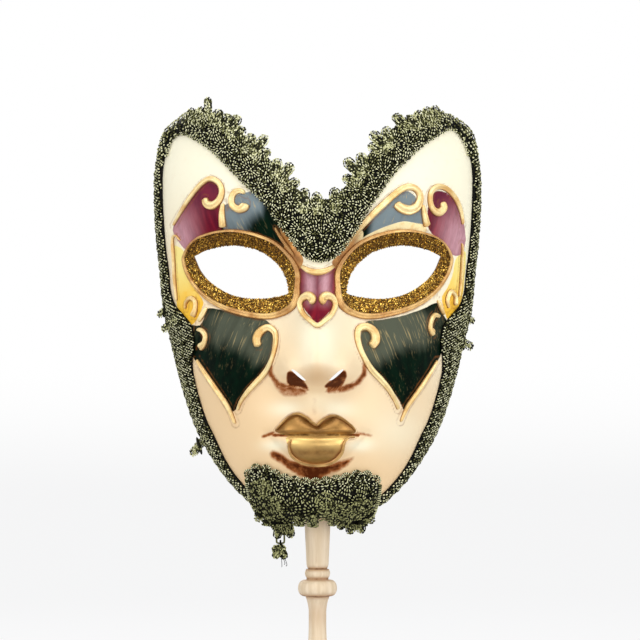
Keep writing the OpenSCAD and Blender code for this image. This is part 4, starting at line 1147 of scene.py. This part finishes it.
    def finger(self, root, tip, width, lift, olive=0.9, place=None):
        """A cord looped out from the root, round the tip and back, over a dark pad."""
        root, tip = np.array(root, float), np.array(tip, float)
        way = unit(tip - root)
        cross = np.array([-way[1], way[0]])
        c = width / 4
        heart = tip - way * 2 * c
        loop = half_loop(heart, c * cross, c * way)
        run = np.vstack([root + cross * c * 0.8, loop, root - cross * c * 0.8])
        self.knots(run, 2 * c, lift, olive, place)
        self.knots(np.vstack([root, heart + way * c * 0.3]), 1.3 * c, lift + 0.2, olive * 0.9, place)
        mid, long = (root + tip) / 2, np.linalg.norm(tip - root) / 2
        at, out = (place or self.place)(mid[:1], mid[1:], np.array([lift]))
        sow(self.pads, self.pad, at, [[way[0], 0, way[1]]], out, [(long * 0.9, c * 1.45, c * 0.8)])

    def done(self, name, finish, nodes, body="mask"):
        """Makes one piece of the stitches, the pads and the ground, and notes their tones."""
        pads, ground = (bpy.data.meshes.new(kind) for kind in ("lace_pads", "lace_ground"))
        self.pads.to_mesh(pads)
        self.bm.to_mesh(ground)
        self.pads.free()
        self.bm.free()
        bead = small_shape(bmesh.ops.create_icosphere, subdivisions=1, radius=1.0)
        at, along, out, size, tone = (np.concatenate(part) for part in zip(*self.kept))
        bm = bmesh.new()
        sow(bm, bead, at, along, out, size)
        bm.from_mesh(pads)
        bm.from_mesh(ground)
        made = piece_of(name, bm, finish, nodes, body)
        note(made, "tone", np.concatenate([
            np.repeat(tone, len(bead.vertices)),
            np.full(len(pads.vertices), PAD_TONE),
            np.full(len(ground.vertices), GROUND_TONE),
        ]))


LACE_T = 3.0
KNOT_PITCH = 0.78
FAN_R = 15.0
FAN_ROW = 1.66
PAD_TONE = 0.14
GROUND_TONE = 0.02
# Left and right brow lace: its edge over the face, its outer edge between the fingers, the hubs of its fans,
# and its fingers from root to tip
BROW_LACE = {
    -1: (
        [(0, 30.5), (-4, 32), (-7.7, 35), (-15.4, 45), (-21.4, 52.7), (-25.6, 59.3), (-33.4, 67),
         (-41.7, 75.4), (-50, 84.2), (-57.2, 90.8), (-64.4, 95.4), (-69, 97.8), (-73.4, 97.8),
         (-77.2, 94), (-79.4, 86)],
        [(0, 62), (-5, 63), (-10, 67), (-17, 75), (-22.5, 80.5), (-27, 86), (-34, 92.5), (-39.5, 97.5),
         (-46, 103), (-53, 107.5), (-60, 109.8), (-66.2, 110), (-73.4, 105.3), (-79.6, 99.9), (-82.5, 92),
         (-83.6, 86)],
        [(-1.5, 44), (-9, 47), (-2, 56), (-13.5, 60), (-21, 66), (-26, 75), (-34, 77), (-39, 88), (-47, 88.5),
         (-53, 99), (-60, 97.5), (-67, 104), (-72.5, 100), (-78.5, 94), (-6, 36.5), (-18, 52), (-30, 68)],
        [((-55.5, 104), (-55.9, 116.2), 4.4), ((-53, 101), (-49.5, 110), 6.4), ((-49, 98), (-45, 107.5), 6.4),
         ((-47, 97), (-39, 105.8), 6.4), ((-45, 94), (-36.2, 99), 6.2), ((-36, 86), (-33.2, 96.6), 6.4),
         ((-34.5, 85), (-25.2, 95), 6.2), ((-33, 83), (-23.6, 87.2), 6.2), ((-22, 72), (-20, 83.4), 6.4),
         ((-20.5, 70), (-12.6, 80.8), 6.4), ((-19, 67), (-8.8, 71.4), 6.2), ((-8, 55), (-6.2, 67.4), 6.2),
         ((-60, 101), (-59.5, 111.5), 5.0), ((-64, 102), (-65, 111), 5.8)],
    ),
    1: (
        [(0, 30.5), (4, 31), (9.8, 34.2), (17, 42.8), (24.2, 55.1), (32.5, 67.1), (39.1, 76.6), (45.7, 83.2),
         (52.2, 89.8), (60.6, 95.8), (65.5, 99), (69.5, 101), (74, 98.4), (77.8, 92), (79.6, 86)],
        [(0, 62), (4, 62), (9, 64), (15.5, 70.5), (19, 76), (24, 83), (28.5, 88), (33, 94), (39, 99.5),
         (45, 104), (52, 107), (59.4, 109.8), (66.5, 108.9), (73.1, 105.6), (79.1, 101.1), (82.3, 93.9),
         (83.8, 86)],
        [(2, 43), (9, 46), (3, 56), (14, 60), (20, 66), (26, 76), (33, 75), (39, 90), (46, 90), (53, 99),
         (59, 100.5), (66, 103.5), (73, 101.5), (78.5, 95), (5, 36), (17.5, 51), (29, 67)],
        [((46, 98), (38.6, 107.2), 6.2), ((50, 98), (46, 107), 6.4), ((53, 99), (51, 109.6), 6.4),
         ((57, 100), (55.5, 111.4), 6.4), ((60, 101), (60, 112.2), 6.2), ((37, 89), (34.4, 100.2), 6.4),
         ((36.5, 87.5), (26.6, 97), 6.4), ((35, 86), (25.4, 90), 5.8), ((24, 74), (21.8, 86.4), 6.4),
         ((23, 73), (13.6, 83), 6.4), ((22, 70), (12.4, 73.4), 5.8), ((9, 55), (8.8, 68), 6.4),
         ((0, 54), (-0.6, 65.6), 6.4)],
    ),
}


def between(inner, outer, thick, lift=0.0):
    """Places for a thin closed ground between two even runs, rounded at its edges."""
    def place(s, t):
        i = np.round(s * (len(inner) - 1)).astype(int)
        share = np.where(t < 0.5, t * 2, 2 - t * 2)[:, None]
        p = inner[i] * (1 - share) + outer[i] * share
        swollen = np.minimum(np.sin(np.pi * share[:, 0]) * 1.6, 1)
        return off_edge(*p.T, lift + np.where(t < 0.5, thick * swollen, 0.0))[0]
    return place


def make_brow_lace(side, finish, rng):
    """The lace along one half of the notched brow."""
    lace = Lace(rng, sage=1.13 if side < 0 else 1.06)
    inner, outer, hubs, fingers = BROW_LACE[side]
    hubs = np.array(hubs, float)
    steps = 120
    near, far = even_run(inner, steps + 1), even_run(outer, steps + 1)
    sheet(lace.bm, steps, 12, between(near, far, LACE_T * 0.6))
    close_up(lace.bm)
    # The halves meet in the middle, so neither thins out there
    outline = np.vstack([[(-4 * side, 30.5)], near[::3], far[::-3], [(-4 * side, 62)]])

    def depth(p):
        return np.where(side * p[:, 0] < -0.2, -1.0, depth_in([outline], *p.T, cuts=1))

    def olive(p):
        return np.clip(1.0 - 0.06 * distance_to(far, *p.T), 0.06, 0.9)

    def hanging(p):
        past = p[:, 1] - top_edge(p[:, 0] / half_width(p[:, 1]))
        return np.where(past < -0.3, -1.0, depth(p))

    lace.fans(depth, hubs, olive, LACE_T)
    lace.fans(hanging, hubs, olive, LACE_T, back=True)
    # Small scallops along the edge over the face
    edge = even_run(inner, int(lengths(near)[-1] / 3.1))
    for a, b in zip(edge[:-1], edge[1:]):
        way = unit(b - a)
        out = side * np.array([way[1], -way[0]])
        lace.cord(half_loop((a + b) / 2, 1.25 * way, 0.875 * out), 1.3, 0.75, 0.1, pitch=0.42)
    for root, tip, width in fingers:
        lace.finger(root, tip, width, LACE_T * 0.5 + rng.uniform(-0.2, 0.4))
    lace.done(SIDES[side] + "_brow_beading", finish, [SIDES[side] + "_brow_lace"])


BRAID_TOP = 90.0
BRAID_BOTTOM = -95.0
BRAID_H = 2.6
# Cords down the edging: how many there may be, how far apart, and the length of their steps
LANES = 34
LANE_PITCH = 1.42
LANE_STEP = 0.5
# How far the edging reaches over the face from the shell's edge, and how far it stands out past it
BRAID_IN = [
    [-95, 3], [-80, 3.2], [-73, 3.8], [-62, 5.2], [-52, 5.2], [-41, 6], [-31, 6.8], [-26, 7.4], [-20, 9],
    [-13, 11.6], [-8, 12.4], [-2.6, 12], [2.6, 8.8], [7.8, 5], [15, 3.4], [26, 3.4], [36, 2.8], [60, 1.8],
    [79, 1.4], [90, 1.6],
]
BRAID_OUT = [
    [-95, 2.4], [-80, 2.6], [-62, 2.6], [-52, 2.4], [-41, 1.6], [-31, 1], [-20, 0.7], [-8, 1], [2.6, 2],
    [8, 2], [26, 1.5], [36, 2], [60, 3], [90, 3],
]
BRAID_FINGERS = {
    -1: [((-56.5, -60.5), (-64.4, -70.2), 4.6), ((-72, 1), (-79.8, -5.6), 4.6),
         ((-76, 7), (-82.2, 2.2), 4.0)],
    1: [((70.5, -8.5), (79.8, -14.6), 4.8), ((74, 3), (80.6, -1), 4.0)],
}


def braid_row(side, z, lift):
    """Points and normals over the face's side, round the shell's edge and back past it."""
    half = half_width(z)
    wide = curve(BRAID_IN, z)
    past = curve(BRAID_OUT, z)
    out = unit(np.stack([np.full_like(z, side), 0 * z, half_width(z - 0.5) - half_width(z + 0.5)], -1))
    points, ways = [], []
    for across, thick in ((0, 0.4), (0.35, 1), (0.8, 1)):
        x = side * np.minimum(half - wide * (1 - across), 0.985 * half)
        n = facing(x, z)
        points.append(front(x, z) + n * (SEAT + lift * thick)[:, None])
        ways.append(n)
    rim = front(side * half, z)
    bulge = past * lift / BRAID_H
    points.append(rim + out * (0.3 + bulge)[:, None] + np.stack([0 * z, -0.4 * lift, 0 * z], -1))
    ways.append(unit(out + ways[-1] * 0.6))
    back = rim + np.stack([0 * z, wall_depth(side * half, z) + 1, 0 * z], -1)
    points.append(back + out * (0.3 + bulge * 0.8)[:, None])
    ways.append(out)
    return np.stack(points), np.stack(ways)


def braid_place(side):
    """Places for stitches on the braid, from their distance in from its back and their height."""
    def place(far, z, lift):
        points, ways = braid_row(side, z, np.full_like(z, BRAID_H * 0.85))
        gone = np.cumsum(np.linalg.norm(np.diff(points, axis=0), axis=2), axis=0)
        gone = np.vstack([np.zeros_like(z), gone])
        want = np.maximum(gone[-1] - far, 0)
        at, out = points[0].copy(), ways[0].copy()
        for k in range(len(points) - 1):
            f = np.clip((want - gone[k]) / np.maximum(gone[k + 1] - gone[k], 1e-6), 0, 1)[:, None]
            hit = (want >= gone[k])[:, None]
            at = np.where(hit, points[k] * (1 - f) + points[k + 1] * f, at)
            out = np.where(hit, ways[k] * (1 - f) + ways[k + 1] * f, out)
        out = unit(out)
        return at + out * lift[:, None], out
    return place


def make_braid(side, finish, rng):
    """The narrow edging down one side."""
    lace = Lace(rng, braid_place(side))

    def ground(s, t):
        z = BRAID_TOP + (BRAID_BOTTOM - BRAID_TOP) * s
        high, low = (braid_row(side, z, np.full_like(z, h))[0] for h in (BRAID_H * 0.66, 0.0))
        loop = np.concatenate([high, low[::-1], high[:1]])
        k = np.minimum(t * 10, 9.9999)
        i = np.floor(k).astype(int)
        f = (k - i)[:, None]
        row = np.arange(len(z))
        return loop[i, row] * (1 - f) + loop[i + 1, row] * f

    sheet(lace.bm, 150, 10, ground)
    close_up(lace.bm)
    # Wavy cords run down the edge, their stitches across them. More lie side by side where it is broad
    rows = np.arange(BRAID_TOP, BRAID_BOTTOM, -LANE_STEP)
    points = braid_row(side, rows, np.full_like(rows, BRAID_H * 0.85))[0]
    width = np.linalg.norm(np.diff(points, axis=0), axis=2).sum(axis=0)
    for lane in range(LANES):
        phase = rng.uniform(0, 6)
        far = 0.4 + LANE_PITCH * lane + 0.35 * np.sin(rows * 0.55 + phase)
        far = far + lace.spread(len(rows), -0.12, 0.12)
        pale = np.arange(len(rows)) % 3 == lane % 3
        keep = far < width + 0.1
        far, z, pale = far[keep], rows[keep], pale[keep]
        count = len(z)
        if not count:
            continue
        across = np.stack([np.full(count, 1.0), lace.spread(count, -0.5, 0.5)], -1)
        half = np.stack([
            np.where(pale, 0.8, 0.74) * lace.spread(count, 0.8, 1.2),
            lace.spread(count, 0.3, 0.4),
            np.where(pale, 0.54, 0.46) * lace.spread(count, 0.8, 1.2),
        ], -1)
        lift = 0.1 + 0.2 * np.sin(z * 1.3 + phase) + lace.spread(count, -0.12, 0.2)
        lace.stitches(far, z, lift, across, half, lace.tones(pale, 0.45 if lane < 4 else 0.12))
    for root, tip, width in BRAID_FINGERS[side]:
        lace.finger(root, tip, width, 1.6, 0.7, off_edge)
    lace.done(SIDES[side] + "_edge_beading", finish, [SIDES[side] + "_edge_braid"])


# The chin lace: its edge under the lip, its lower edge between the fingers, and the hubs of its fans
CHIN_TOP = [
    (-35.6, -82), (-34.8, -79), (-32, -76.3), (-25.5, -76.8), (-21, -80), (-15.4, -82), (-10.5, -83.2),
    (-2, -84.6), (4.4, -83.2), (12, -82), (17.4, -80), (22.9, -79.4), (27.8, -81), (31.2, -84.6),
]
CHIN_LOW = [
    (-32.4, -95.5), (-29, -101.5), (-24.5, -107.5), (-20, -111.6), (-15, -111.6), (-12.4, -105),
    (-8.6, -105), (-5, -104), (-1.5, -104.6), (2.5, -102), (7, -104), (12, -107), (17, -109.4),
    (22.5, -109), (26, -102.6), (29.6, -92),
]
CHIN_HUBS = [
    (-33, -80), (-27, -79.5), (-21.5, -84), (-15, -86), (-9, -88), (-2, -88), (4.5, -87), (14.4, -84.5),
    (23, -83), (29, -86), (-30, -90), (-22, -95), (-12, -96), (-2, -97), (9, -97), (20, -94), (27, -95),
    (-25, -101), (-19, -105), (18, -105),
]
# Its fingers, each from root to tip with its width
CHIN_FINGERS = [
    ((-28, -97), (-29.8, -103), 4.8), ((-24, -101), (-26, -107.4), 5.0),
    ((-19.5, -106), (-21.4, -114.2), 5.2), ((-15, -106), (-13.8, -113.8), 5.2),
    ((-9, -99), (-8.6, -107.4), 6.0), ((-2.5, -99), (-1.8, -107), 6.0), ((7, -98), (7.4, -105.8), 5.4),
    ((12, -101), (12.4, -109.4), 5.4), ((17, -103), (17.2, -112), 5.4), ((22, -103), (23, -111.4), 5.2),
    ((25, -97), (27, -104.6), 5.0),
]
# Looped cords over the chin lace: middle and half sizes
CHIN_LOOPS = [
    (-27.5, -86.5, 4.6, 3.6), (-21.5, -96.5, 4.2, 5.2), (3.5, -94, 3.8, 3.4), (11.5, -99, 4.6, 4.4),
    (21.5, -96.5, 4.8, 4.2),
]
# Cords down its two ends
CHIN_EDGES = [
    [(-35.4, -82), (-34.6, -88), (-32.4, -95), (-28.8, -101.5)],
    [(31, -85), (30.4, -91), (28.4, -98), (26, -103)],
]


def make_chin_lace(finish, rng):
    """The lace apron over the chin."""
    lace = Lace(rng, sage=0.8)
    hubs = np.array(CHIN_HUBS, float)
    steps = 80
    near, far = even_run(CHIN_TOP, steps + 1), even_run(CHIN_LOW, steps + 1)
    sheet(lace.bm, steps, 14, between(near, far, LACE_T * 0.62, 0.3))
    close_up(lace.bm)
    outline = np.vstack([near, far[::-1]])[::3]

    def depth(p):
        return depth_in([outline], *p.T, cuts=1)

    def olive(p):
        return np.clip(0.06 * distance_to(near, *p.T) - 0.12, 0.05, 0.85)

    def hanging(p):
        return np.where(p[:, 1] > CHIN_EDGE_Z + 0.3, -1.0, depth(p))

    lace.fans(depth, hubs, olive, LACE_T + 0.4)
    lace.fans(hanging, hubs, olive, LACE_T, back=True)
    for edge in CHIN_EDGES:
        lace.cord(route(edge, 6), 2.4, 2.0, 0.3)
    edge = even_run(CHIN_TOP, 15)
    for p, q in zip(edge[:-1], edge[1:]):
        way = unit(q - p)
        out = np.array([-way[1], way[0]])
        for r in (0.9, 2.2):
            lace.cord(half_loop((p + q) / 2, r * way, r * out, 11), 1.35, 1.3, 0.05, pitch=0.42)
    turn = np.linspace(0, 2 * math.pi, 17)
    for x, z, wide, high in CHIN_LOOPS:
        for share in (1.0, 0.4):
            loop = np.stack([x + share * wide * np.cos(turn), z + share * high * np.sin(turn)], -1)
            lace.knots(loop, 2.6, LACE_T * 0.8, 0.8, off_edge)
    for root, tip, width in CHIN_FINGERS:
        lace.finger(root, tip, width, LACE_T * 0.6 + rng.uniform(-0.2, 0.4), 0.75)
    lace.done("chin_beading", finish, ["chin_lace"])


# The tail's points lie from the axis that it swings on: half of its loop, its fingers from root to tip in
# [x, z], and its loose threads as [x, lowest z]
TAIL_AXIS = np.array(frame["joints"][0]["pos_m"]) / MM
HALF_TAIL_LOOP = [(-2, -0.9, 8), (-2, 0, 4.5), (-2, 0, 0.9), (-1.6, 0, 0.2), (-0.8, 0, 0)]
TAIL_FINGERS = [
    ((0, -2.4), (-4.6, -3.6)), ((-0.4, -3), (-3.4, -8)), ((0.4, -3), (2.6, -8.4)), ((0, -2.2), (2.8, -4)),
]
TAIL_ENDS = [(0.6, -12.4), (1.8, -11.2), (2.6, -12.0)]


def thread(bm, points, radius, cuts=6):
    """A round thread along points in space."""
    run = route(points, cuts)
    ahead = unit(np.gradient(run, axis=0))
    side = unit(np.cross(ahead, np.array([0.3, 0.9, 0.31])))
    up = np.cross(ahead, side)
    n = len(run) - 1

    def place(s, t):
        i = np.round(s * n).astype(int)
        a = 2 * np.pi * t
        return run[i] + radius * (side[i] * np.cos(a)[:, None] + up[i] * np.sin(a)[:, None])

    sheet(bm, n, 8, place)


def make_tail(finish, rng):
    """The loose tail, and the thread loop it hangs from, which stays with the mask."""
    bm = bmesh.new()
    points = HALF_TAIL_LOOP + [(-x, y, z) for x, y, z in HALF_TAIL_LOOP[::-1]]
    thread(bm, TAIL_AXIS + np.array(points), 0.5)
    close_up(bm)
    loop = piece_of("tail_thread_loop", bm, finish, ["tail_loop"])
    note(loop, "tone", np.full(len(loop.data.vertices), 0.5))

    def hang(x, z, lift):
        at = TAIL_AXIS + np.stack([x, -lift, z], -1)
        return at, np.tile([0.0, -1.0, 0.0], (len(x), 1))

    tail = Lace(rng, hang, 0.85)
    eye = [(0, 1.3 * math.cos(a), 1.3 * math.sin(a)) for a in np.linspace(-math.pi / 2, 1.5 * math.pi, 13)]
    stem = [(0, 0, -1.2), (0, 0, -3), (0.1, 0, -5)]
    ends = [
        [(x * 0.6, 0, -6.5), (x, 0.2, -8.6), (x * 1.3, -0.2, low * 0.94), (x * 1.1, 0, low)]
        for x, low in TAIL_ENDS
    ]
    for points, radius, cuts in [(eye, 0.48, 3), (stem, 0.45, 6)] + [(end, 0.16, 5) for end in ends]:
        thread(tail.bm, TAIL_AXIS + np.array(points), radius, cuts=cuts)
    close_up(tail.bm)
    for lift in (0.5, -0.5):
        for root, tip in TAIL_FINGERS:
            tail.finger(root, tip, 4.4, lift, 0.7)
    tail.done("loose_lace_tail", finish, ["lace_tail"], "tail")


# The turned stick from its foot up: grip, neck, flare, bead, cut, ring, cove, shaft and tenon
FOOT_H = 11 / 3
GRIP_R = 5.5
GRIP_L = 100.0
NECK_R = 4.6
NECK_L = 32.0
NECK_CURVE = [[0, 0], [0.3, 0.1], [0.55, 0.75], [0.75, 1], [1, 1]]
FLARE_R = 6.3
FLARE_H = 8.0
BEAD_Z = GRIP_L + NECK_L + FLARE_H
BEAD_H = 8.6
BEAD_OUT = 3.9
CUT_UNDER_RING = [(5.75, 148.7), (5.7, 149.2), (5.75, 149.75)]
RING_R = 5.9
RING_OUT = 0.7
RING_Z = 149.8
RING_H = 4.4
COVE_IN = 0.9
COVE_H = 3.0
SHAFT_R = 5.8
SHAFT_Z = 157.3
SHAFT_L = 29.9
SHAFT_GROWTH = 1.4
TENON_R = 5.0
TENON_Z = SHAFT_Z + SHAFT_L
TENON_L = 20.0
CHAMFER = 1.0
# Grooves painted browner: height, reach up and down, and strength
GROOVES = [(140.2, 1.3, 1.0), (149.2, 1.0, 1.0), (154.4, 1.2, 1.0), (130.0, 6.0, 0.35)]


def stick_outline():
    """Half outline of the stick as [radius, height], from its foot's middle to its tenon's."""
    def cuts(count):
        return np.linspace(0, 1, count + 1)

    top = TENON_Z + TENON_L
    line = [(GRIP_R * math.sin(a), -FOOT_H * math.cos(a)) for a in cuts(8) * math.pi / 2]
    line += [(GRIP_R, GRIP_L * t) for t in cuts(25)[1:]]
    line += [
        (GRIP_R + (NECK_R - GRIP_R) * float(curve(NECK_CURVE, t)), GRIP_L + NECK_L * t) for t in cuts(18)[1:]
    ]
    line += [(NECK_R + (FLARE_R - NECK_R) * t**1.8, BEAD_Z - FLARE_H * (1 - t)) for t in cuts(8)[1:]]
    line += [
        (FLARE_R + BEAD_OUT * math.sin(a) ** 0.76, BEAD_Z + BEAD_H * (1 - math.cos(a)) / 2)
        for a in cuts(28)[1:-1] * math.pi
    ]
    line += CUT_UNDER_RING
    line += [(RING_R + RING_OUT * math.sin(math.pi * t), RING_Z + RING_H * t) for t in cuts(12)]
    line += [(SHAFT_R - COVE_IN * (1 - t) ** 2, SHAFT_Z - COVE_H * (1 - t)) for t in cuts(6)]
    line += [(SHAFT_R + SHAFT_GROWTH * t, SHAFT_Z + SHAFT_L * t) for t in cuts(12)[1:]]
    line += [(TENON_R, TENON_Z), (TENON_R, top - CHAMFER), (TENON_R - CHAMFER, top), (0, top)]
    return line


def make_stick(finish):
    """The turned stick, as its outline spun round."""
    line = stick_outline()
    bm = bmesh.new()
    groove = bm.verts.layers.float.new("groove")
    points = [bm.verts.new((r, 0, z)) for r, z in line]
    for v, (_, z) in zip(points, line):
        v[groove] = max(deep * math.exp(-((z - at) / spread) ** 2) for at, spread, deep in GROOVES)
    edges = [bm.edges.new(pair) for pair in zip(points[:-1], points[1:])]
    bmesh.ops.spin(
        bm, geom=points + edges, cent=(0, 0, 0), axis=(0, 0, 1), angle=2 * math.pi, steps=72, use_merge=True
    )
    bmesh.ops.remove_doubles(bm, verts=bm.verts, dist=0.002)
    bmesh.ops.recalc_face_normals(bm, faces=bm.faces)
    piece_of("turned_stick_wood", bm, finish, ["turned_stick"], crease=38)


# Softboxes: name, place, size and power
LAMPS = [
    ("overhead_softbox", (0.0, -0.75, 1.55), (1.5, 0.9), 11.5),
    ("left_softbox", (-1.35, -1.0, 0.58), (0.8, 1.14), 8.3),
    ("right_softbox", (1.35, -1.0, 0.58), (0.8, 1.14), 9.6),
    ("low_front_softbox", (0.35, -2.0, 0.22), (1.3, 0.42), 5.2),
    ("back_softbox", (-0.3, 1.7, 1.2), (1.2, 0.9), 9.0),
]
LIT_SPOT = Vector((0, 0, 0.29))


def make_floor():
    """A floor seen as grey around the mask, pale behind it, and white far off and under the front lamps."""
    bm = bmesh.new()
    bmesh.ops.create_circle(bm, cap_ends=True, segments=64, radius=40.0)
    bmesh.ops.translate(bm, vec=(0, 0, cad_box[0][2]), verts=bm.verts)
    mesh = bpy.data.meshes.new("studio_floor")
    bm.to_mesh(mesh)
    bm.free()
    floor = bpy.data.objects.new("studio_floor", mesh)
    bpy.context.scene.collection.objects.link(floor)
    f = Finish("studio_white")
    f.set({"Base Color": shade(228, 228, 231), "Roughness": 0.9, "Specular IOR Level": 0.1})
    away = f.make("ShaderNodeVectorMath", {"operation": "LENGTH"}, {0: f.where()}, out=1)
    forwards = f.make("ShaderNodeSeparateXYZ", None, {0: f.where()}, out=1)
    ahead = forwards.step(0.1, -0.5) * away.step(0.6, 1.3)
    far = away.sum("DIVIDE", 1.0, back=True).step(0.2, 0.03)
    white = (0.6 + away.step(0.5, 1.9) * 0.28 + far * 0.12).most(ahead)
    glow = f.make("ShaderNodeEmission", None, {"Color": (1, 1, 1, 1), "Strength": 1.0})
    lit = Wire(f, f.shader.outputs[0])
    both = f.make("ShaderNodeMixShader", None, {0: f.when_seen() * white, 1: lit, 2: glow})
    f.plug(f.tree.nodes["Material Output"].inputs["Surface"], both)
    mesh.materials.append(f.material)


def make_air():
    """Cool light from all round, seen as plain white."""
    world = bpy.data.worlds.new("studio_air")
    bpy.context.scene.world = world
    world.use_nodes = True
    nodes = Nodes(world.node_tree)
    air = nodes.tree.nodes["Background"]
    nodes.plug(air.inputs["Color"], (0.9, 0.93, 1.0, 1))
    nodes.plug(air.inputs["Strength"], 0.36)
    white = nodes.make("ShaderNodeBackground", None, {"Color": (1, 1, 1, 1)})
    lit = Wire(nodes, air.outputs[0])
    both = nodes.make("ShaderNodeMixShader", None, {0: nodes.when_seen(), 1: lit, 2: white})
    nodes.plug(nodes.tree.nodes["World Output"].inputs["Surface"], both)


def make_lamps():
    """Softboxes that all face the mask."""
    for name, at, size, power in LAMPS:
        lamp = bpy.data.lights.new(name, "AREA")
        lamp.shape, lamp.energy = "RECTANGLE", power
        lamp.size, lamp.size_y = size
        holder = bpy.data.objects.new(name, lamp)
        holder.location = at
        holder.rotation_euler = (LIT_SPOT - Vector(at)).to_track_quat("-Z", "Y").to_euler()
        holder.visible_camera = False
        bpy.context.scene.collection.objects.link(holder)


def make_camera():
    """Level with the middle of the photograph and straight in front of the face."""
    away, aside, face_y, frame_w, sensor_w = 2.4, 0.0013, -0.01, 0.3328, 36
    camera = bpy.data.cameras.new("front_camera")
    camera.sensor_width = sensor_w
    camera.lens = sensor_w * away / frame_w
    camera.clip_end = 50
    holder = bpy.data.objects.new("front_camera", camera)
    holder.location = (aside, face_y - away, FACE_Z * MM)
    holder.rotation_euler = (math.pi / 2, 0, 0)
    bpy.context.scene.collection.objects.link(holder)
    bpy.context.scene.camera = holder
    bpy.context.scene.view_settings.view_transform = "Standard"


make_camera()
make_floor()
make_air()
make_lamps()
gold = gilded_relief("gold_paint", shade(220, 176, 104), shade(250, 230, 170))
copper = gilded_relief("copper_gold_paint", shade(172, 118, 56), shade(232, 192, 122))
dull_gold = gilded_relief("dull_gold_paint", shade(140, 100, 50), shade(204, 164, 98))
thread_finish = beaded_lace()
make_shell(painted_shell())
for node, *run in PIPING:
    finish = dull_gold if node.endswith("lip_rim") else copper if node == "left_brow_line" else gold
    make_piping(finish, node, *run)
glue, flakes = glitter_glue(), glitter_flakes()
for side in SIDES:
    rng = random.Random(40 + side)
    make_eye(side, copper, glue, flakes, rng)
    make_brow_lace(side, thread_finish, rng)
    make_braid(side, thread_finish, rng)
rng = random.Random(7)
make_chin_lace(thread_finish, rng)
make_tail(thread_finish, rng)
make_stick(turned_wood())
block = frame["nodes"]["socket_block"]
block.data.materials.clear()
block.data.materials.append(block_wood())
